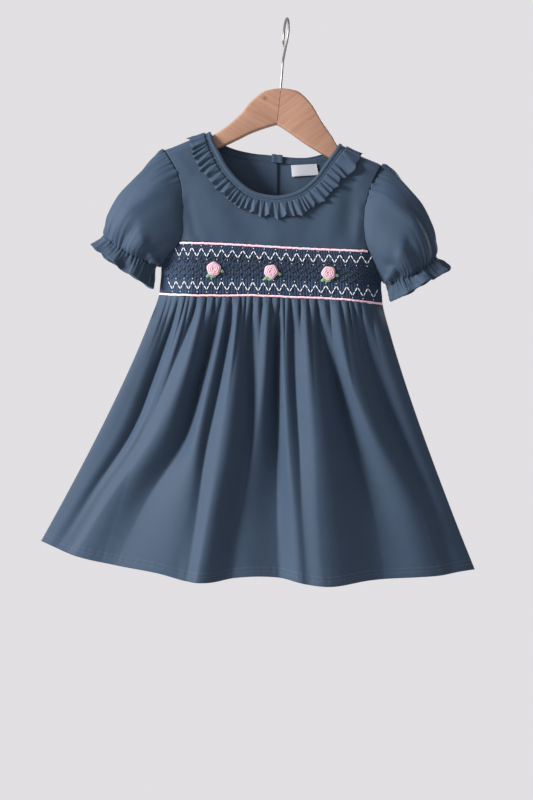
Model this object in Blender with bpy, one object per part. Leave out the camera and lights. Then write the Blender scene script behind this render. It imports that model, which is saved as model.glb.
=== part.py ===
"""Child's short-sleeved smocked dress hanging on a wooden hanger with a wire hook.

All sizes are in millimetres in the tables and are turned into metres when a mesh is made.
The origin is where the hook rests on its rod. +Z is up, the front of the dress faces -Y,
and left and right are meant as seen from the front.
"""
import bpy
import bmesh
import math
import numpy as np
from mathutils import Matrix, Vector

for old in list(bpy.data.objects):
    bpy.data.objects.remove(old, do_unlink=True)

MM = 0.001

# Cloth walls and seams
WALL = 1.2
HALF = WALL / 2
RUFFLE_HALF = 0.5
BINDING_HALF = 0.9
SEAM_GAP = 0.3
NECK_ROOM = 0.3
PIPING_RADIUS = 1.2
PIPING_ROOM = PIPING_RADIUS + SEAM_GAP
SHOULDER_PARTING = 0.2
SIDE_PARTING = 0.8

# Fit of the body over the hanger
SHOULDER_DROP = 9.0
SHOULDER_ARC = 15.3
SIDE_ROUND = 40.0

# Back placket and its buttons
PLACKET_EDGE = -9.6
PLACKET_UNDER = -35.7
LAP_LIFT = 1.7
BUTTON_RADIUS = 5.5
BUTTON_THICK = 2.2
BUTTON_X = -22.5
BUTTON_HEIGHTS = (-187.0, -231.0, -275.0)

# Neck ruffle
RUFFLE_WIDTH = 16.5
RUFFLE_WAVES_FRONT = 20
RUFFLE_WAVES_BACK = 13
RUFFLE_LIFT = 2.35
RUFFLE_RISE = 1.7
RUFFLE_WAVE = 0.4
RUFFLE_WAVE_EDGE = 1.7
RUFFLE_OVER_SHOULDER = 0.8

# Skirt
SKIRT_SPREAD = 1.18
HEM_DEPTH_FRONT = 50.0
HEM_DEPTH_BACK = 46.0

# Sleeves
SLEEVE_START = 1.45
FRILL_WAVES = 8

# Hook
WIRE_RADIUS = 1.4
SOCKET_RADIUS = 1.7


def table(columns, *rows):
    """Short table with named columns, a row for each section or station."""
    values = np.array(rows, dtype=float)
    return {name: values[:, i] for i, name in enumerate(columns.split())}


SHOULDER = table(
    "x z",
    (-133.7, -143.6),
    (-126.0, -141.1),
    (-106.7, -133.1),
    (-84.4, -124.5),
    (57.4, -137.4),
    (80.2, -150.0),
    (101.6, -158.8),
    (104.0, -160.8),
)

# Where the outline of the body closes at the sides, for the roundness of the body
SIDE_LEFT = table(
    "z x",
    (-312.0, -139.8),
    (-301.4, -139.6),
    (-271.5, -137.7),
    (-259.0, -139.3),
    (-234.0, -144.0),
    (-190.0, -152.0),
    (-143.0, -165.0),
)
SIDE_RIGHT = table(
    "z x",
    (-320.0, 105.9),
    (-312.6, 105.5),
    (-287.3, 104.2),
    (-275.0, 105.8),
    (-250.0, 110.5),
    (-205.0, 118.5),
    (-160.0, 131.0),
)

# Half depth of the body by distance below the shoulder line
BODY_DEPTH = table(
    "drop front back",
    (0.0, 10.5, 10.5),
    (60.0, 15.0, 12.5),
    (110.0, 18.0, 14.5),
    (165.0, 22.0, 18.0),
    (200.0, 24.0, 20.0),
)

NECK_FRONT = table(
    "x_seam z_seam x_open z_open",
    (-89.2, -126.3, -83.3, -124.1),
    (-88.0, -134.6, -82.0, -132.0),
    (-83.0, -148.1, -75.7, -144.0),
    (-73.5, -166.2, -66.3, -161.2),
    (-59.2, -183.0, -53.4, -177.3),
    (-41.3, -196.2, -37.9, -189.3),
    (-21.2, -202.1, -20.4, -194.8),
    (-2.2, -202.1, -4.0, -194.8),
    (17.9, -195.5, 14.1, -189.3),
    (35.8, -180.6, 30.5, -176.2),
    (47.6, -165.0, 41.7, -161.2),
    (58.5, -150.4, 51.8, -147.0),
    (63.4, -144.6, 56.6, -140.4),
    (64.7, -141.5, 57.4, -137.4),
)
NECK_BACK = table(
    "x_seam z_seam x_open z_open",
    (-89.2, -126.3, -83.3, -124.1),
    (-88.2, -129.2, -82.6, -126.4),
    (-81.6, -136.7, -76.7, -131.5),
    (-70.0, -144.1, -66.7, -137.8),
    (-55.7, -149.5, -53.5, -142.6),
    (-36.9, -152.7, -35.8, -146.3),
    (-21.4, -154.3, -21.4, -147.7),
    (-6.0, -156.0, -6.0, -149.4),
    (10.6, -157.1, 9.5, -150.8),
    (26.1, -156.7, 23.9, -150.6),
    (42.6, -153.2, 38.2, -147.4),
    (56.4, -147.0, 50.3, -142.7),
    (63.6, -143.4, 56.8, -139.2),
    (64.7, -141.5, 57.4, -137.4),
)

ARMHOLE_LEFT = table(
    "z x_front x_back",
    (-271.5, -137.7, -137.7),
    (-259.2, -128.3, -131.3),
    (-246.6, -117.2, -124.6),
    (-234.0, -113.5, -120.8),
    (-218.6, -113.7, -119.7),
    (-201.1, -113.8, -119.7),
    (-183.6, -115.1, -120.8),
    (-168.2, -119.5, -124.1),
    (-155.1, -126.6, -129.1),
    (-143.6, -133.7, -133.7),
)
ARMHOLE_RIGHT = table(
    "z x_front x_back",
    (-287.3, 104.2, 104.2),
    (-275.6, 98.5, 101.1),
    (-262.5, 92.5, 97.2),
    (-249.3, 87.4, 94.0),
    (-235.1, 85.1, 92.2),
    (-217.5, 84.5, 92.0),
    (-200.0, 87.2, 93.3),
    (-184.7, 91.9, 96.6),
    (-171.5, 97.7, 100.5),
    (-160.8, 104.0, 104.0),
)

YOKE_SEAM = table(
    "x z",
    (-117.0, -246.5),
    (-94.6, -247.1),
    (-70.9, -248.0),
    (-32.4, -250.1),
    (7.5, -252.4),
    (47.3, -254.2),
    (88.8, -255.6),
)
WAIST = table(
    "x z",
    (-139.6, -301.4),
    (-116.4, -303.4),
    (-70.8, -304.5),
    (-40.0, -304.2),
    (7.4, -306.1),
    (50.9, -307.8),
    (80.0, -310.3),
    (105.5, -312.6),
)
HEM = table(
    "u z",
    (0.00, -572.0),
    (0.03, -578.0),
    (0.06, -584.1),
    (0.11, -591.0),
    (0.17, -596.8),
    (0.28, -605.8),
    (0.34, -613.1),
    (0.39, -614.1),
    (0.45, -609.7),
    (0.50, -608.6),
    (0.56, -610.8),
    (0.61, -616.2),
    (0.66, -618.5),
    (0.75, -613.5),
    (0.87, -610.3),
    (0.92, -608.9),
    (0.97, -605.4),
    (1.00, -603.9),
)
HEM_LEFT_X = -267.9
HEM_RIGHT_X = 206.3

# Skirt folds. Positions run from 0 at the left side seam to 1 at the right one.
# A positive height stands out of the skirt and a negative one is a valley.
FOLD_COLUMNS = "u_top u_mid u_low u_hem h_top h_mid h_hem w_mid w_hem"
FOLDS_FRONT = table(
    FOLD_COLUMNS,
    (0.070, 0.065, 0.040, 0.030, -2.0, -3.5, -2.0, 0.028, 0.028),
    (0.140, 0.110, 0.087, 0.060, 2.5, 5.0, 3.0, 0.034, 0.034),
    (0.234, 0.223, 0.184, 0.155, -2.5, -5.5, -4.0, 0.036, 0.040),
    (0.304, 0.288, 0.303, 0.320, 2.5, 5.0, 5.0, 0.026, 0.030),
    (0.337, 0.321, 0.333, 0.342, -2.0, -3.0, -3.0, 0.016, 0.016),
    (0.366, 0.360, 0.361, 0.359, 2.5, 8.0, 13.0, 0.028, 0.035),
    (0.427, 0.439, 0.448, 0.458, -2.5, -6.0, -7.0, 0.022, 0.026),
    (0.452, 0.475, 0.477, 0.480, 2.0, 3.0, 3.5, 0.014, 0.016),
    (0.517, 0.530, 0.522, 0.507, -2.5, -9.5, -12.0, 0.028, 0.034),
    (0.559, 0.570, 0.588, 0.596, 2.0, 4.0, 3.0, 0.018, 0.020),
    (0.620, 0.638, 0.628, 0.617, 2.5, 7.0, 10.0, 0.026, 0.030),
    (0.690, 0.752, 0.772, 0.780, -2.5, -7.0, -10.0, 0.032, 0.040),
    (0.784, 0.802, 0.835, 0.856, 2.5, 7.0, 9.0, 0.028, 0.034),
    (0.850, 0.900, 0.932, 0.945, -2.0, -4.0, -3.0, 0.028, 0.030),
    (0.904, 0.950, 0.968, 0.975, 2.0, 3.0, 2.0, 0.024, 0.024),
)
FOLDS_BACK = table(
    FOLD_COLUMNS,
    (0.090, 0.085, 0.070, 0.060, 2.0, 3.5, 3.0, 0.028, 0.030),
    (0.165, 0.150, 0.150, 0.145, -2.5, -5.0, -6.0, 0.034, 0.040),
    (0.235, 0.240, 0.235, 0.230, 2.5, 6.5, 9.0, 0.030, 0.036),
    (0.315, 0.320, 0.330, 0.335, -2.5, -6.0, -9.0, 0.030, 0.036),
    (0.385, 0.395, 0.405, 0.410, 2.5, 6.0, 10.0, 0.028, 0.032),
    (0.470, 0.480, 0.490, 0.495, -2.5, -8.0, -11.0, 0.032, 0.038),
    (0.555, 0.570, 0.575, 0.580, 2.5, 7.0, 11.0, 0.028, 0.034),
    (0.640, 0.655, 0.660, 0.665, -2.5, -6.0, -8.0, 0.028, 0.034),
    (0.720, 0.735, 0.745, 0.750, 2.5, 6.5, 9.0, 0.028, 0.034),
    (0.805, 0.820, 0.830, 0.840, -2.0, -5.0, -6.0, 0.030, 0.034),
    (0.890, 0.905, 0.915, 0.920, 2.0, 3.5, 4.0, 0.026, 0.030),
)

# Sleeve sections from the armhole to the frill's edge: the upper and the under point of
# each ring, its half depth in front and behind, and how far its middle bows outwards
SLEEVE_COLUMNS = "x_top z_top x_under z_under front back bow"
SLEEVE_LEFT = table(
    SLEEVE_COLUMNS,
    (-133.7, -142.6, -137.7, -272.1, 17.0, 14.0, 0.0),
    (-149.0, -153.5, -138.9, -271.9, 25.0, 22.0, 0.0),
    (-166.7, -176.0, -140.1, -271.4, 31.0, 28.0, 0.0),
    (-183.2, -195.8, -141.3, -270.8, 33.0, 30.0, 0.0),
    (-194.0, -215.6, -142.5, -270.0, 30.0, 28.0, 1.0),
    (-198.8, -230.8, -143.7, -269.2, 23.0, 22.0, 3.0),
    (-199.4, -238.0, -144.9, -268.6, 19.0, 19.0, 4.5),
    (-206.4, -244.0, -147.4, -282.7, 23.0, 22.0, 3.0),
    (-214.6, -249.6, -150.5, -295.6, 27.0, 26.0, 1.5),
)
SLEEVE_RIGHT = table(
    SLEEVE_COLUMNS,
    (104.0, -159.8, 104.4, -288.0, 17.0, 14.0, 0.0),
    (118.6, -166.0, 105.7, -288.6, 25.0, 22.0, 0.0),
    (134.8, -187.8, 107.0, -289.2, 31.0, 28.0, 0.0),
    (148.5, -207.0, 108.3, -289.8, 33.0, 30.0, 0.0),
    (159.2, -229.9, 109.6, -290.3, 30.0, 28.0, 1.0),
    (164.4, -249.7, 110.8, -290.8, 23.0, 22.0, 3.0),
    (163.2, -261.4, 111.9, -291.2, 19.0, 19.0, 4.5),
    (171.2, -267.4, 113.6, -301.0, 23.0, 22.0, 3.0),
    (180.2, -274.8, 115.3, -310.6, 27.0, 26.0, 1.5),
)
SLEEVE_ROWS = 8

# Wooden arms: upper and lower edge and half thickness at each station
ARM_COLUMNS = "x_top z_top x_low z_low half"
ARM_LEFT = table(
    ARM_COLUMNS,
    (-6.3, -75.4, -10.7, -115.5, 6.0),
    (-16.0, -76.6, -18.0, -117.5, 6.0),
    (-27.0, -80.3, -27.0, -120.4, 6.0),
    (-40.2, -91.3, -40.2, -125.4, 6.0),
    (-51.2, -104.5, -51.2, -130.9, 6.0),
    (-67.7, -118.8, -67.7, -138.6, 6.0),
    (-87.5, -130.9, -87.5, -146.3, 5.8),
    (-106.2, -136.4, -106.2, -152.0, 5.4),
    (-120.0, -140.3, -120.0, -156.5, 5.0),
    (-129.0, -144.6, -128.4, -158.6, 4.6),
    (-131.0, -148.5, -130.6, -155.5, 2.6),
)
ARM_RIGHT = table(
    ARM_COLUMNS,
    (-6.0, -75.4, -10.4, -115.5, 6.0),
    (4.5, -76.6, -3.0, -120.0, 6.0),
    (14.9, -80.3, 5.5, -125.8, 6.0),
    (28.0, -93.5, 20.4, -136.4, 6.0),
    (39.1, -112.2, 34.7, -145.2, 6.0),
    (50.5, -128.8, 47.5, -152.4, 6.0),
    (57.4, -139.9, 56.0, -157.6, 6.0),
    (66.0, -144.4, 65.0, -161.8, 5.8),
    (80.2, -152.2, 79.4, -167.2, 5.4),
    (92.0, -157.2, 91.6, -171.0, 5.0),
    (100.0, -161.6, 99.6, -173.0, 4.4),
    (102.4, -163.4, 102.2, -169.5, 2.6),
)

# Centre line of the hook's wire, from the wood over the rod to its free end
HOOK_PATH = table(
    "x y z",
    (-6.1, 0.0, -95.0),
    (-6.1, 0.0, -75.4),
    (-5.0, 0.0, -60.5),
    (-3.9, -1.0, -46.4),
    (-2.4, -7.0, -38.5),
    (-0.5, -13.5, -30.0),
    (1.5, -16.6, -20.0),
    (2.4, -16.0, -11.5),
    (2.0, -11.0, -3.2),
    (0.4, 0.0, 1.4),
    (-1.6, 11.0, -3.2),
    (-2.6, 16.0, -11.5),
    (-3.1, 16.2, -20.0),
    (-3.3, 13.0, -27.0),
)


def through(xs, ys, x):
    """Smooth curve through the points of a table, carried on straight past its ends."""
    x = np.asarray(x, dtype=float)
    inside = np.clip(x, xs[0], xs[-1])
    step = np.diff(xs)
    slope = np.diff(ys) / step
    tangent = np.empty_like(ys)
    tangent[0] = slope[0]
    tangent[-1] = slope[-1]
    tangent[1:-1] = (slope[:-1] * step[1:] + slope[1:] * step[:-1]) / (step[:-1] + step[1:])
    i = np.clip(np.searchsorted(xs, inside, side="right") - 1, 0, len(xs) - 2)
    t = (inside - xs[i]) / step[i]
    value = (
        (2 * t**3 - 3 * t**2 + 1) * ys[i]
        + (t**3 - 2 * t**2 + t) * step[i] * tangent[i]
        + (3 * t**2 - 2 * t**3) * ys[i + 1]
        + (t**3 - t**2) * step[i] * tangent[i + 1]
    )
    ends = np.where(x < xs[0], tangent[0], tangent[-1])
    return value + (x - inside) * ends


def ease(x):
    """Smooth step from 0 to 1."""
    x = np.clip(x, 0.0, 1.0)
    return x * x * (3 - 2 * x)


def shoulder_z(x):
    return np.interp(x, SHOULDER["x"], SHOULDER["z"])


def side_fullness(x, z):
    """1 in the middle of the body, falling to 0 where front and back meet at the side."""
    left = x - through(SIDE_LEFT["z"], SIDE_LEFT["x"], z)
    right = through(SIDE_RIGHT["z"], SIDE_RIGHT["x"], z) - x
    e = np.clip(np.minimum(left, right) / SIDE_ROUND, 0.0, 1.0)
    return 1 - (1 - e) ** 2


def drop_of(q):
    """Height lost below the shoulder line after a distance q along the cloth."""
    phi = np.clip(q / SHOULDER_ARC, 0.0, 1.0) * math.pi / 2
    return SHOULDER_DROP * (1 - np.cos(phi)) + np.maximum(q - SHOULDER_ARC, 0.0)


def reach_of(x, z):
    """Distance along the cloth from the shoulder line down to a height z."""
    s = np.maximum(shoulder_z(x) - z, 0.0)
    phi = np.arccos(np.clip(1 - s / SHOULDER_DROP, 0.0, 1.0))
    return np.where(s < SHOULDER_DROP, phi * 2 / math.pi * SHOULDER_ARC, SHOULDER_ARC + s - SHOULDER_DROP)


def body_raw(face, x, q, parting):
    phi = np.clip(q / SHOULDER_ARC, 0.0, 1.0) * math.pi / 2
    s = drop_of(q)
    z = shoulder_z(x) - s
    depth = through(BODY_DEPTH["drop"], BODY_DEPTH[face], s) * side_fullness(x, z)
    y = depth * np.sin(phi) + SIDE_PARTING * ease(s / 30.0) + parting
    sign = -1.0 if face == "front" else 1.0
    return np.stack([x, sign * y, z], axis=-1)


def unit(v):
    return v / np.maximum(np.linalg.norm(v, axis=-1, keepdims=True), 1e-9)


def body(face, x, q, lift=0.0, parting=SHOULDER_PARTING):
    """Point on the body's cloth at x and q, moved outwards by lift."""
    x = np.asarray(x, dtype=float)
    q = np.asarray(q, dtype=float)
    p = body_raw(face, x, q, parting)
    if np.ndim(lift) == 0 and lift == 0.0:
        return p
    h = 0.4
    across = body_raw(face, x + h, q, parting) - body_raw(face, x - h, q, parting)
    down = body_raw(face, x, q + h, parting) - body_raw(face, x, np.maximum(q - h, 0), parting)
    n = unit(np.cross(down, across))
    if face == "back":
        n = -n
    return p + n * np.asarray(lift)[..., None]


def outline(tab, kind, t):
    """Neck edge in x and q. t runs from 0 at the left shoulder to 1 at the right one."""
    k = np.arange(len(tab["x_seam"])) / (len(tab["x_seam"]) - 1)
    x = through(k, tab["x_" + kind], t)
    z = through(k, tab["z_" + kind], t)
    return np.stack([x, reach_of(x, z)], axis=-1)


def outside_neck(tab, t, distance):
    """Neck seam in x and q, moved away from the opening."""
    h = 0.004
    here = outline(tab, "seam", t)
    ahead = outline(tab, "seam", np.clip(t + h, 0, 1)) - outline(tab, "seam", np.clip(t - h, 0, 1))
    away = unit(np.stack([-ahead[..., 1], ahead[..., 0]], axis=-1))
    moved = here + away * distance
    return np.stack([moved[..., 0], np.maximum(moved[..., 1], 0.0)], axis=-1)


def line(tab, x0, x1, t, shift=0.0):
    """Seam across the body in x and q, moved up by shift."""
    x = x0 + (x1 - x0) * np.asarray(t, dtype=float)
    z = through(tab["x"], tab["z"], x) + shift
    return np.stack([x, reach_of(x, z)], axis=-1)


def armhole_x(tab, face, z):
    return through(tab["z"], tab["x_" + face], z)


def edge(tab, side, face, z):
    """Left or right edge of the body at height z: armhole above, side seam below."""
    under = tab["z"][0]
    x = np.where(z > under, armhole_x(tab, face, z), through(side["z"], side["x"], z))
    return np.stack([x, reach_of(x, z)], axis=-1)


def edge_down(tab, side, face, q0, q1, t):
    """Same edge by distance along the cloth from q0 to q1."""
    q = q0 + (q1 - q0) * np.asarray(t, dtype=float)
    z = tab["z"][-1] - drop_of(q)
    for _ in range(10):
        x = edge(tab, side, face, z)[..., 0]
        z = shoulder_z(x) - drop_of(q)
    return np.stack([x, q], axis=-1)


def patch(top, bottom, left, right, u, v):
    """Surface between four edges."""
    u = u[..., None]
    v = v[..., None]
    c00 = top(np.zeros(1))[0]
    c10 = top(np.ones(1))[0]
    c01 = bottom(np.zeros(1))[0]
    c11 = bottom(np.ones(1))[0]
    flat = (1 - u) * (1 - v) * c00 + u * (1 - v) * c10 + (1 - u) * v * c01 + u * v * c11
    ruled = (1 - v) * top(u[..., 0]) + v * bottom(u[..., 0])
    ruled = ruled + (1 - u) * left(v[..., 0]) + u * right(v[..., 0])
    return ruled - flat


YOKE_LEFT_END = (YOKE_SEAM["x"][0], YOKE_SEAM["z"][0])
YOKE_RIGHT_END = (YOKE_SEAM["x"][-1], YOKE_SEAM["z"][-1])
NECK_START = 0.2
NECK_END = 0.8


def with_shoulders(neck, tips, first, last):
    """Top edge made of a left shoulder, a neck edge and a right shoulder."""

    def top(u):
        u = np.asarray(u, dtype=float)
        t = np.clip((u - first) / (last - first), 0.0, 1.0)
        n = neck(t)
        start = neck(np.zeros(1))[0]
        end = neck(np.ones(1))[0]
        x_left = tips[0] + (start[0] - tips[0]) * u / first if first > 0 else n[..., 0]
        x_right = end[0] + (tips[1] - end[0]) * (u - last) / (1 - last) if last < 1 else n[..., 0]
        x = np.where(u < first, x_left, np.where(u > last, x_right, n[..., 0]))
        q = np.where((u < first) | (u > last), 0.0, n[..., 1])
        return np.stack([x, q], axis=-1)

    return top


def below_neck(u):
    """Share along the yoke's lower edge, which keeps its lines outside the neck opening."""
    return np.interp(u, [0.0, NECK_START, NECK_END, 1.0], [0.0, 0.107, 0.905, 1.0])


def yoke(u, v):
    top = with_shoulders(
        lambda t: outside_neck(NECK_FRONT, t, NECK_ROOM),
        (ARMHOLE_LEFT["x_front"][-1], ARMHOLE_RIGHT["x_front"][-1]),
        NECK_START,
        NECK_END,
    )
    q_left = float(line(YOKE_SEAM, YOKE_LEFT_END[0], 0.0, np.zeros(1), PIPING_ROOM)[0][1])
    q_right = float(line(YOKE_SEAM, YOKE_RIGHT_END[0], 0.0, np.zeros(1), PIPING_ROOM)[0][1])
    xq = patch(
        top,
        lambda t: line(YOKE_SEAM, YOKE_LEFT_END[0], YOKE_RIGHT_END[0], below_neck(t), PIPING_ROOM),
        lambda t: edge_down(ARMHOLE_LEFT, SIDE_LEFT, "front", 0.0, q_left, t),
        lambda t: edge_down(ARMHOLE_RIGHT, SIDE_RIGHT, "front", 0.0, q_right, t),
        u,
        v,
    )
    return body("front", xq[..., 0], np.maximum(xq[..., 1], 0.0))


def band(u, v):
    z0_left = YOKE_LEFT_END[1] - PIPING_ROOM
    z0_right = YOKE_RIGHT_END[1] - PIPING_ROOM
    z1_left = WAIST["z"][0] + PIPING_ROOM
    z1_right = WAIST["z"][-1] + PIPING_ROOM
    x0_left = float(armhole_x(ARMHOLE_LEFT, "front", z0_left))
    x0_right = float(armhole_x(ARMHOLE_RIGHT, "front", z0_right))
    xq = patch(
        lambda t: line(YOKE_SEAM, x0_left, x0_right, t, -PIPING_ROOM),
        lambda t: line(WAIST, WAIST["x"][0], WAIST["x"][-1], t, PIPING_ROOM),
        lambda t: edge(ARMHOLE_LEFT, SIDE_LEFT, "front", z0_left + (z1_left - z0_left) * t),
        lambda t: edge(ARMHOLE_RIGHT, SIDE_RIGHT, "front", z0_right + (z1_right - z0_right) * t),
        u,
        v,
    )
    return body("front", xq[..., 0], xq[..., 1])


def lap(x):
    """How far the over-lap half of the back stands out over the under-lap half."""
    return LAP_LIFT * ease((14.0 - x) / 20.0) * ease((x + 56.0) / 16.0)


def back_share(x):
    """Share of the way along the back neck seam, from the left shoulder, for a given x."""
    k = np.arange(len(NECK_BACK["x_seam"])) / (len(NECK_BACK["x_seam"]) - 1)
    return np.interp(x, NECK_BACK["x_seam"], k)


def neck_part(tab, x_from, x_to):
    """Part of the back neck seam between two x positions."""
    t0 = back_share(x_from)
    t1 = back_share(x_to)
    return lambda t: outside_neck(tab, t0 + (t1 - t0) * t, NECK_ROOM)


def back_left(u, v):
    top = with_shoulders(
        neck_part(NECK_BACK, NECK_BACK["x_seam"][0], PLACKET_EDGE),
        (ARMHOLE_LEFT["x_back"][-1], PLACKET_EDGE),
        0.33,
        1.0,
    )
    q1 = float(line(WAIST, WAIST["x"][0], 0.0, np.zeros(1), SEAM_GAP / 2)[0][1])
    top_q = float(top(np.ones(1))[0][1])
    low_q = float(line(WAIST, PLACKET_EDGE, PLACKET_EDGE, np.zeros(1), SEAM_GAP / 2)[0][1])
    xq = patch(
        top,
        lambda t: line(WAIST, WAIST["x"][0], PLACKET_EDGE, t, SEAM_GAP / 2),
        lambda t: edge_down(ARMHOLE_LEFT, SIDE_LEFT, "back", 0.0, q1, t),
        lambda t: np.stack([PLACKET_EDGE + 0 * t, top_q + (low_q - top_q) * t], axis=-1),
        u,
        v,
    )
    return body("back", xq[..., 0], np.maximum(xq[..., 1], 0.0))


def back_right_xq(u, v):
    top = with_shoulders(
        neck_part(NECK_BACK, PLACKET_UNDER, NECK_BACK["x_seam"][-1]),
        (PLACKET_UNDER, ARMHOLE_RIGHT["x_back"][-1]),
        0.0,
        0.72,
    )
    q1 = float(line(WAIST, WAIST["x"][-1], 0.0, np.zeros(1), SEAM_GAP / 2)[0][1])
    top_q = float(top(np.zeros(1))[0][1])
    low_q = float(line(WAIST, PLACKET_UNDER, PLACKET_UNDER, np.zeros(1), SEAM_GAP / 2)[0][1])
    return patch(
        top,
        lambda t: line(WAIST, PLACKET_UNDER, WAIST["x"][-1], t, SEAM_GAP / 2),
        lambda t: np.stack([PLACKET_UNDER + 0 * t, top_q + (low_q - top_q) * t], axis=-1),
        lambda t: edge_down(ARMHOLE_RIGHT, SIDE_RIGHT, "back", 0.0, q1, t),
        u,
        v,
    )


def back_right(u, v):
    xq = back_right_xq(u, v)
    return body("back", xq[..., 0], np.maximum(xq[..., 1], 0.0), lap(xq[..., 0]))


def binding(u, w):
    """Strip round the neck. u starts and ends at the placket, w runs from seam to opening."""
    t_gap = float(back_share(PLACKET_EDGE))
    turn = np.asarray(u, dtype=float) * 3.0
    first = (1 - ease_linear(turn)) * t_gap
    third = 1 - (1 - t_gap) * ease_linear(turn - 2.0)
    t_back = np.where(turn < 1.0, first, third)
    t_front = ease_linear(turn - 1.0)
    is_front = (turn >= 1.0) & (turn <= 2.0)

    def spot(kind):
        f = outline(NECK_FRONT, kind, t_front)
        b = outline(NECK_BACK, kind, t_back)
        pf = body("front", f[..., 0], f[..., 1], 0.0, 0.0)
        pb = body("back", b[..., 0], b[..., 1], 0.0, 0.0)
        return np.where(is_front[..., None], pf, pb)

    w = np.asarray(w)[..., None]
    return spot("seam") * (1 - w) + spot("open") * w


def ease_linear(x):
    return np.clip(x, 0.0, 1.0)


def ruffle(u, w):
    """Gathered strip lying on the body outside the neck seam, all the way round."""
    t_gap = float(back_share(PLACKET_EDGE))
    turn = np.asarray(u, dtype=float) * 3.0
    t_back = np.where(turn < 1.0, (1 - ease_linear(turn)) * t_gap, 1 - (1 - t_gap) * ease_linear(turn - 2.0))
    t_front = ease_linear(turn - 1.0)
    is_front = (turn >= 1.0) & (turn <= 2.0)
    waves_left = RUFFLE_WAVES_BACK * t_gap
    phase = np.where(
        turn < 1.0,
        waves_left * ease_linear(turn),
        waves_left + RUFFLE_WAVES_FRONT * t_front + RUFFLE_WAVES_BACK * (1 - t_gap) * ease_linear(turn - 2.0),
    )
    wave = np.cos(phase * 2 * math.pi)
    w = np.asarray(w, dtype=float)
    q_seam = outline(NECK_FRONT, "seam", t_front)[..., 1]
    q_seam = np.where(is_front, q_seam, outline(NECK_BACK, "seam", t_back)[..., 1])
    over_shoulder = RUFFLE_OVER_SHOULDER * (1 - ease(q_seam / 22.0))
    lift = RUFFLE_LIFT + over_shoulder + RUFFLE_RISE * w + (RUFFLE_WAVE + (RUFFLE_WAVE_EDGE - RUFFLE_WAVE) * w) * wave
    result = []
    for face, tab, t in (("front", NECK_FRONT, t_front), ("back", NECK_BACK, t_back)):
        h = 0.004
        here = outline(tab, "seam", t)
        ahead = outline(tab, "seam", np.clip(t + h, 0, 1)) - outline(tab, "seam", np.clip(t - h, 0, 1))
        normal = np.stack([-ahead[..., 1], ahead[..., 0]], axis=-1)
        normal[..., 1] = normal[..., 1] * ease(here[..., 1] / 22.0)
        normal = unit(normal)
        x = here[..., 0] + normal[..., 0] * w * RUFFLE_WIDTH
        q = np.maximum(here[..., 1] + normal[..., 1] * w * RUFFLE_WIDTH, 0.0)
        extra = lap(x) if face == "back" else 0.0
        result.append(body(face, x, q, lift + extra, 0.0))
    return np.where(is_front[..., None], result[0], result[1])


def folds(tab, u, v):
    """Height of the skirt's folds at u and v."""
    stations = np.array([0.10, 0.45, 0.75, 1.0])
    grow = np.array([0.0, 0.06, 0.50, 1.0])
    total = np.zeros(np.broadcast(u, v).shape)
    for i in range(len(tab["u_top"])):
        place = np.array([tab[c][i] for c in ("u_top", "u_mid", "u_low", "u_hem")])
        centre = through(stations, place, np.maximum(v, 0.0))
        size = np.array([0.0, tab["h_top"][i], tab["h_mid"][i], tab["h_hem"][i]])
        height = np.interp(v, grow, size)
        width = tab["w_mid"][i] + (tab["w_hem"][i] - tab["w_mid"][i]) * ease(v)
        total = total + height * np.exp(-(((u - centre) / width) ** 2))
    return total


def skirt(face, u, v):
    u, v = np.broadcast_arrays(np.asarray(u, dtype=float), np.asarray(v, dtype=float))
    shift = -PIPING_ROOM if face == "front" else -SEAM_GAP / 2
    x_waist = WAIST["x"][0] + (WAIST["x"][-1] - WAIST["x"][0]) * u
    z_waist = through(WAIST["x"], WAIST["z"], x_waist) + shift
    top = body(face, x_waist, reach_of(x_waist, z_waist))
    x_hem = HEM_LEFT_X + (HEM_RIGHT_X - HEM_LEFT_X) * u
    z_hem = through(HEM["u"], HEM["z"], u)
    x = x_waist + (x_hem - x_waist) * v**SKIRT_SPREAD
    z = z_waist + (z_hem - z_waist) * v
    t = np.abs(2 * u - 1)
    hem_depth = HEM_DEPTH_FRONT if face == "front" else HEM_DEPTH_BACK
    sign = -1.0 if face == "front" else 1.0
    parting = SHOULDER_PARTING + SIDE_PARTING
    waist_depth = sign * top[..., 1] - parting
    blend = v**1.1
    depth = waist_depth * (1 - blend) + hem_depth * (1 - t**3) * blend
    depth = depth + 3.0 * np.exp(-(((v - 0.06) / 0.05) ** 2)) * (1 - t**4) * ease(v / 0.02)
    tab = FOLDS_FRONT if face == "front" else FOLDS_BACK
    depth = depth + folds(tab, u, v) * (1 - t**10)
    floor = 3.0 * (1 - t**6)
    over = depth - floor
    soft = 2.0 * (1 - t**6)
    depth = floor + 0.5 * (over + np.sqrt(over**2 + soft**2))
    return np.stack([x, sign * (parting + depth), z], axis=-1)


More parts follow.
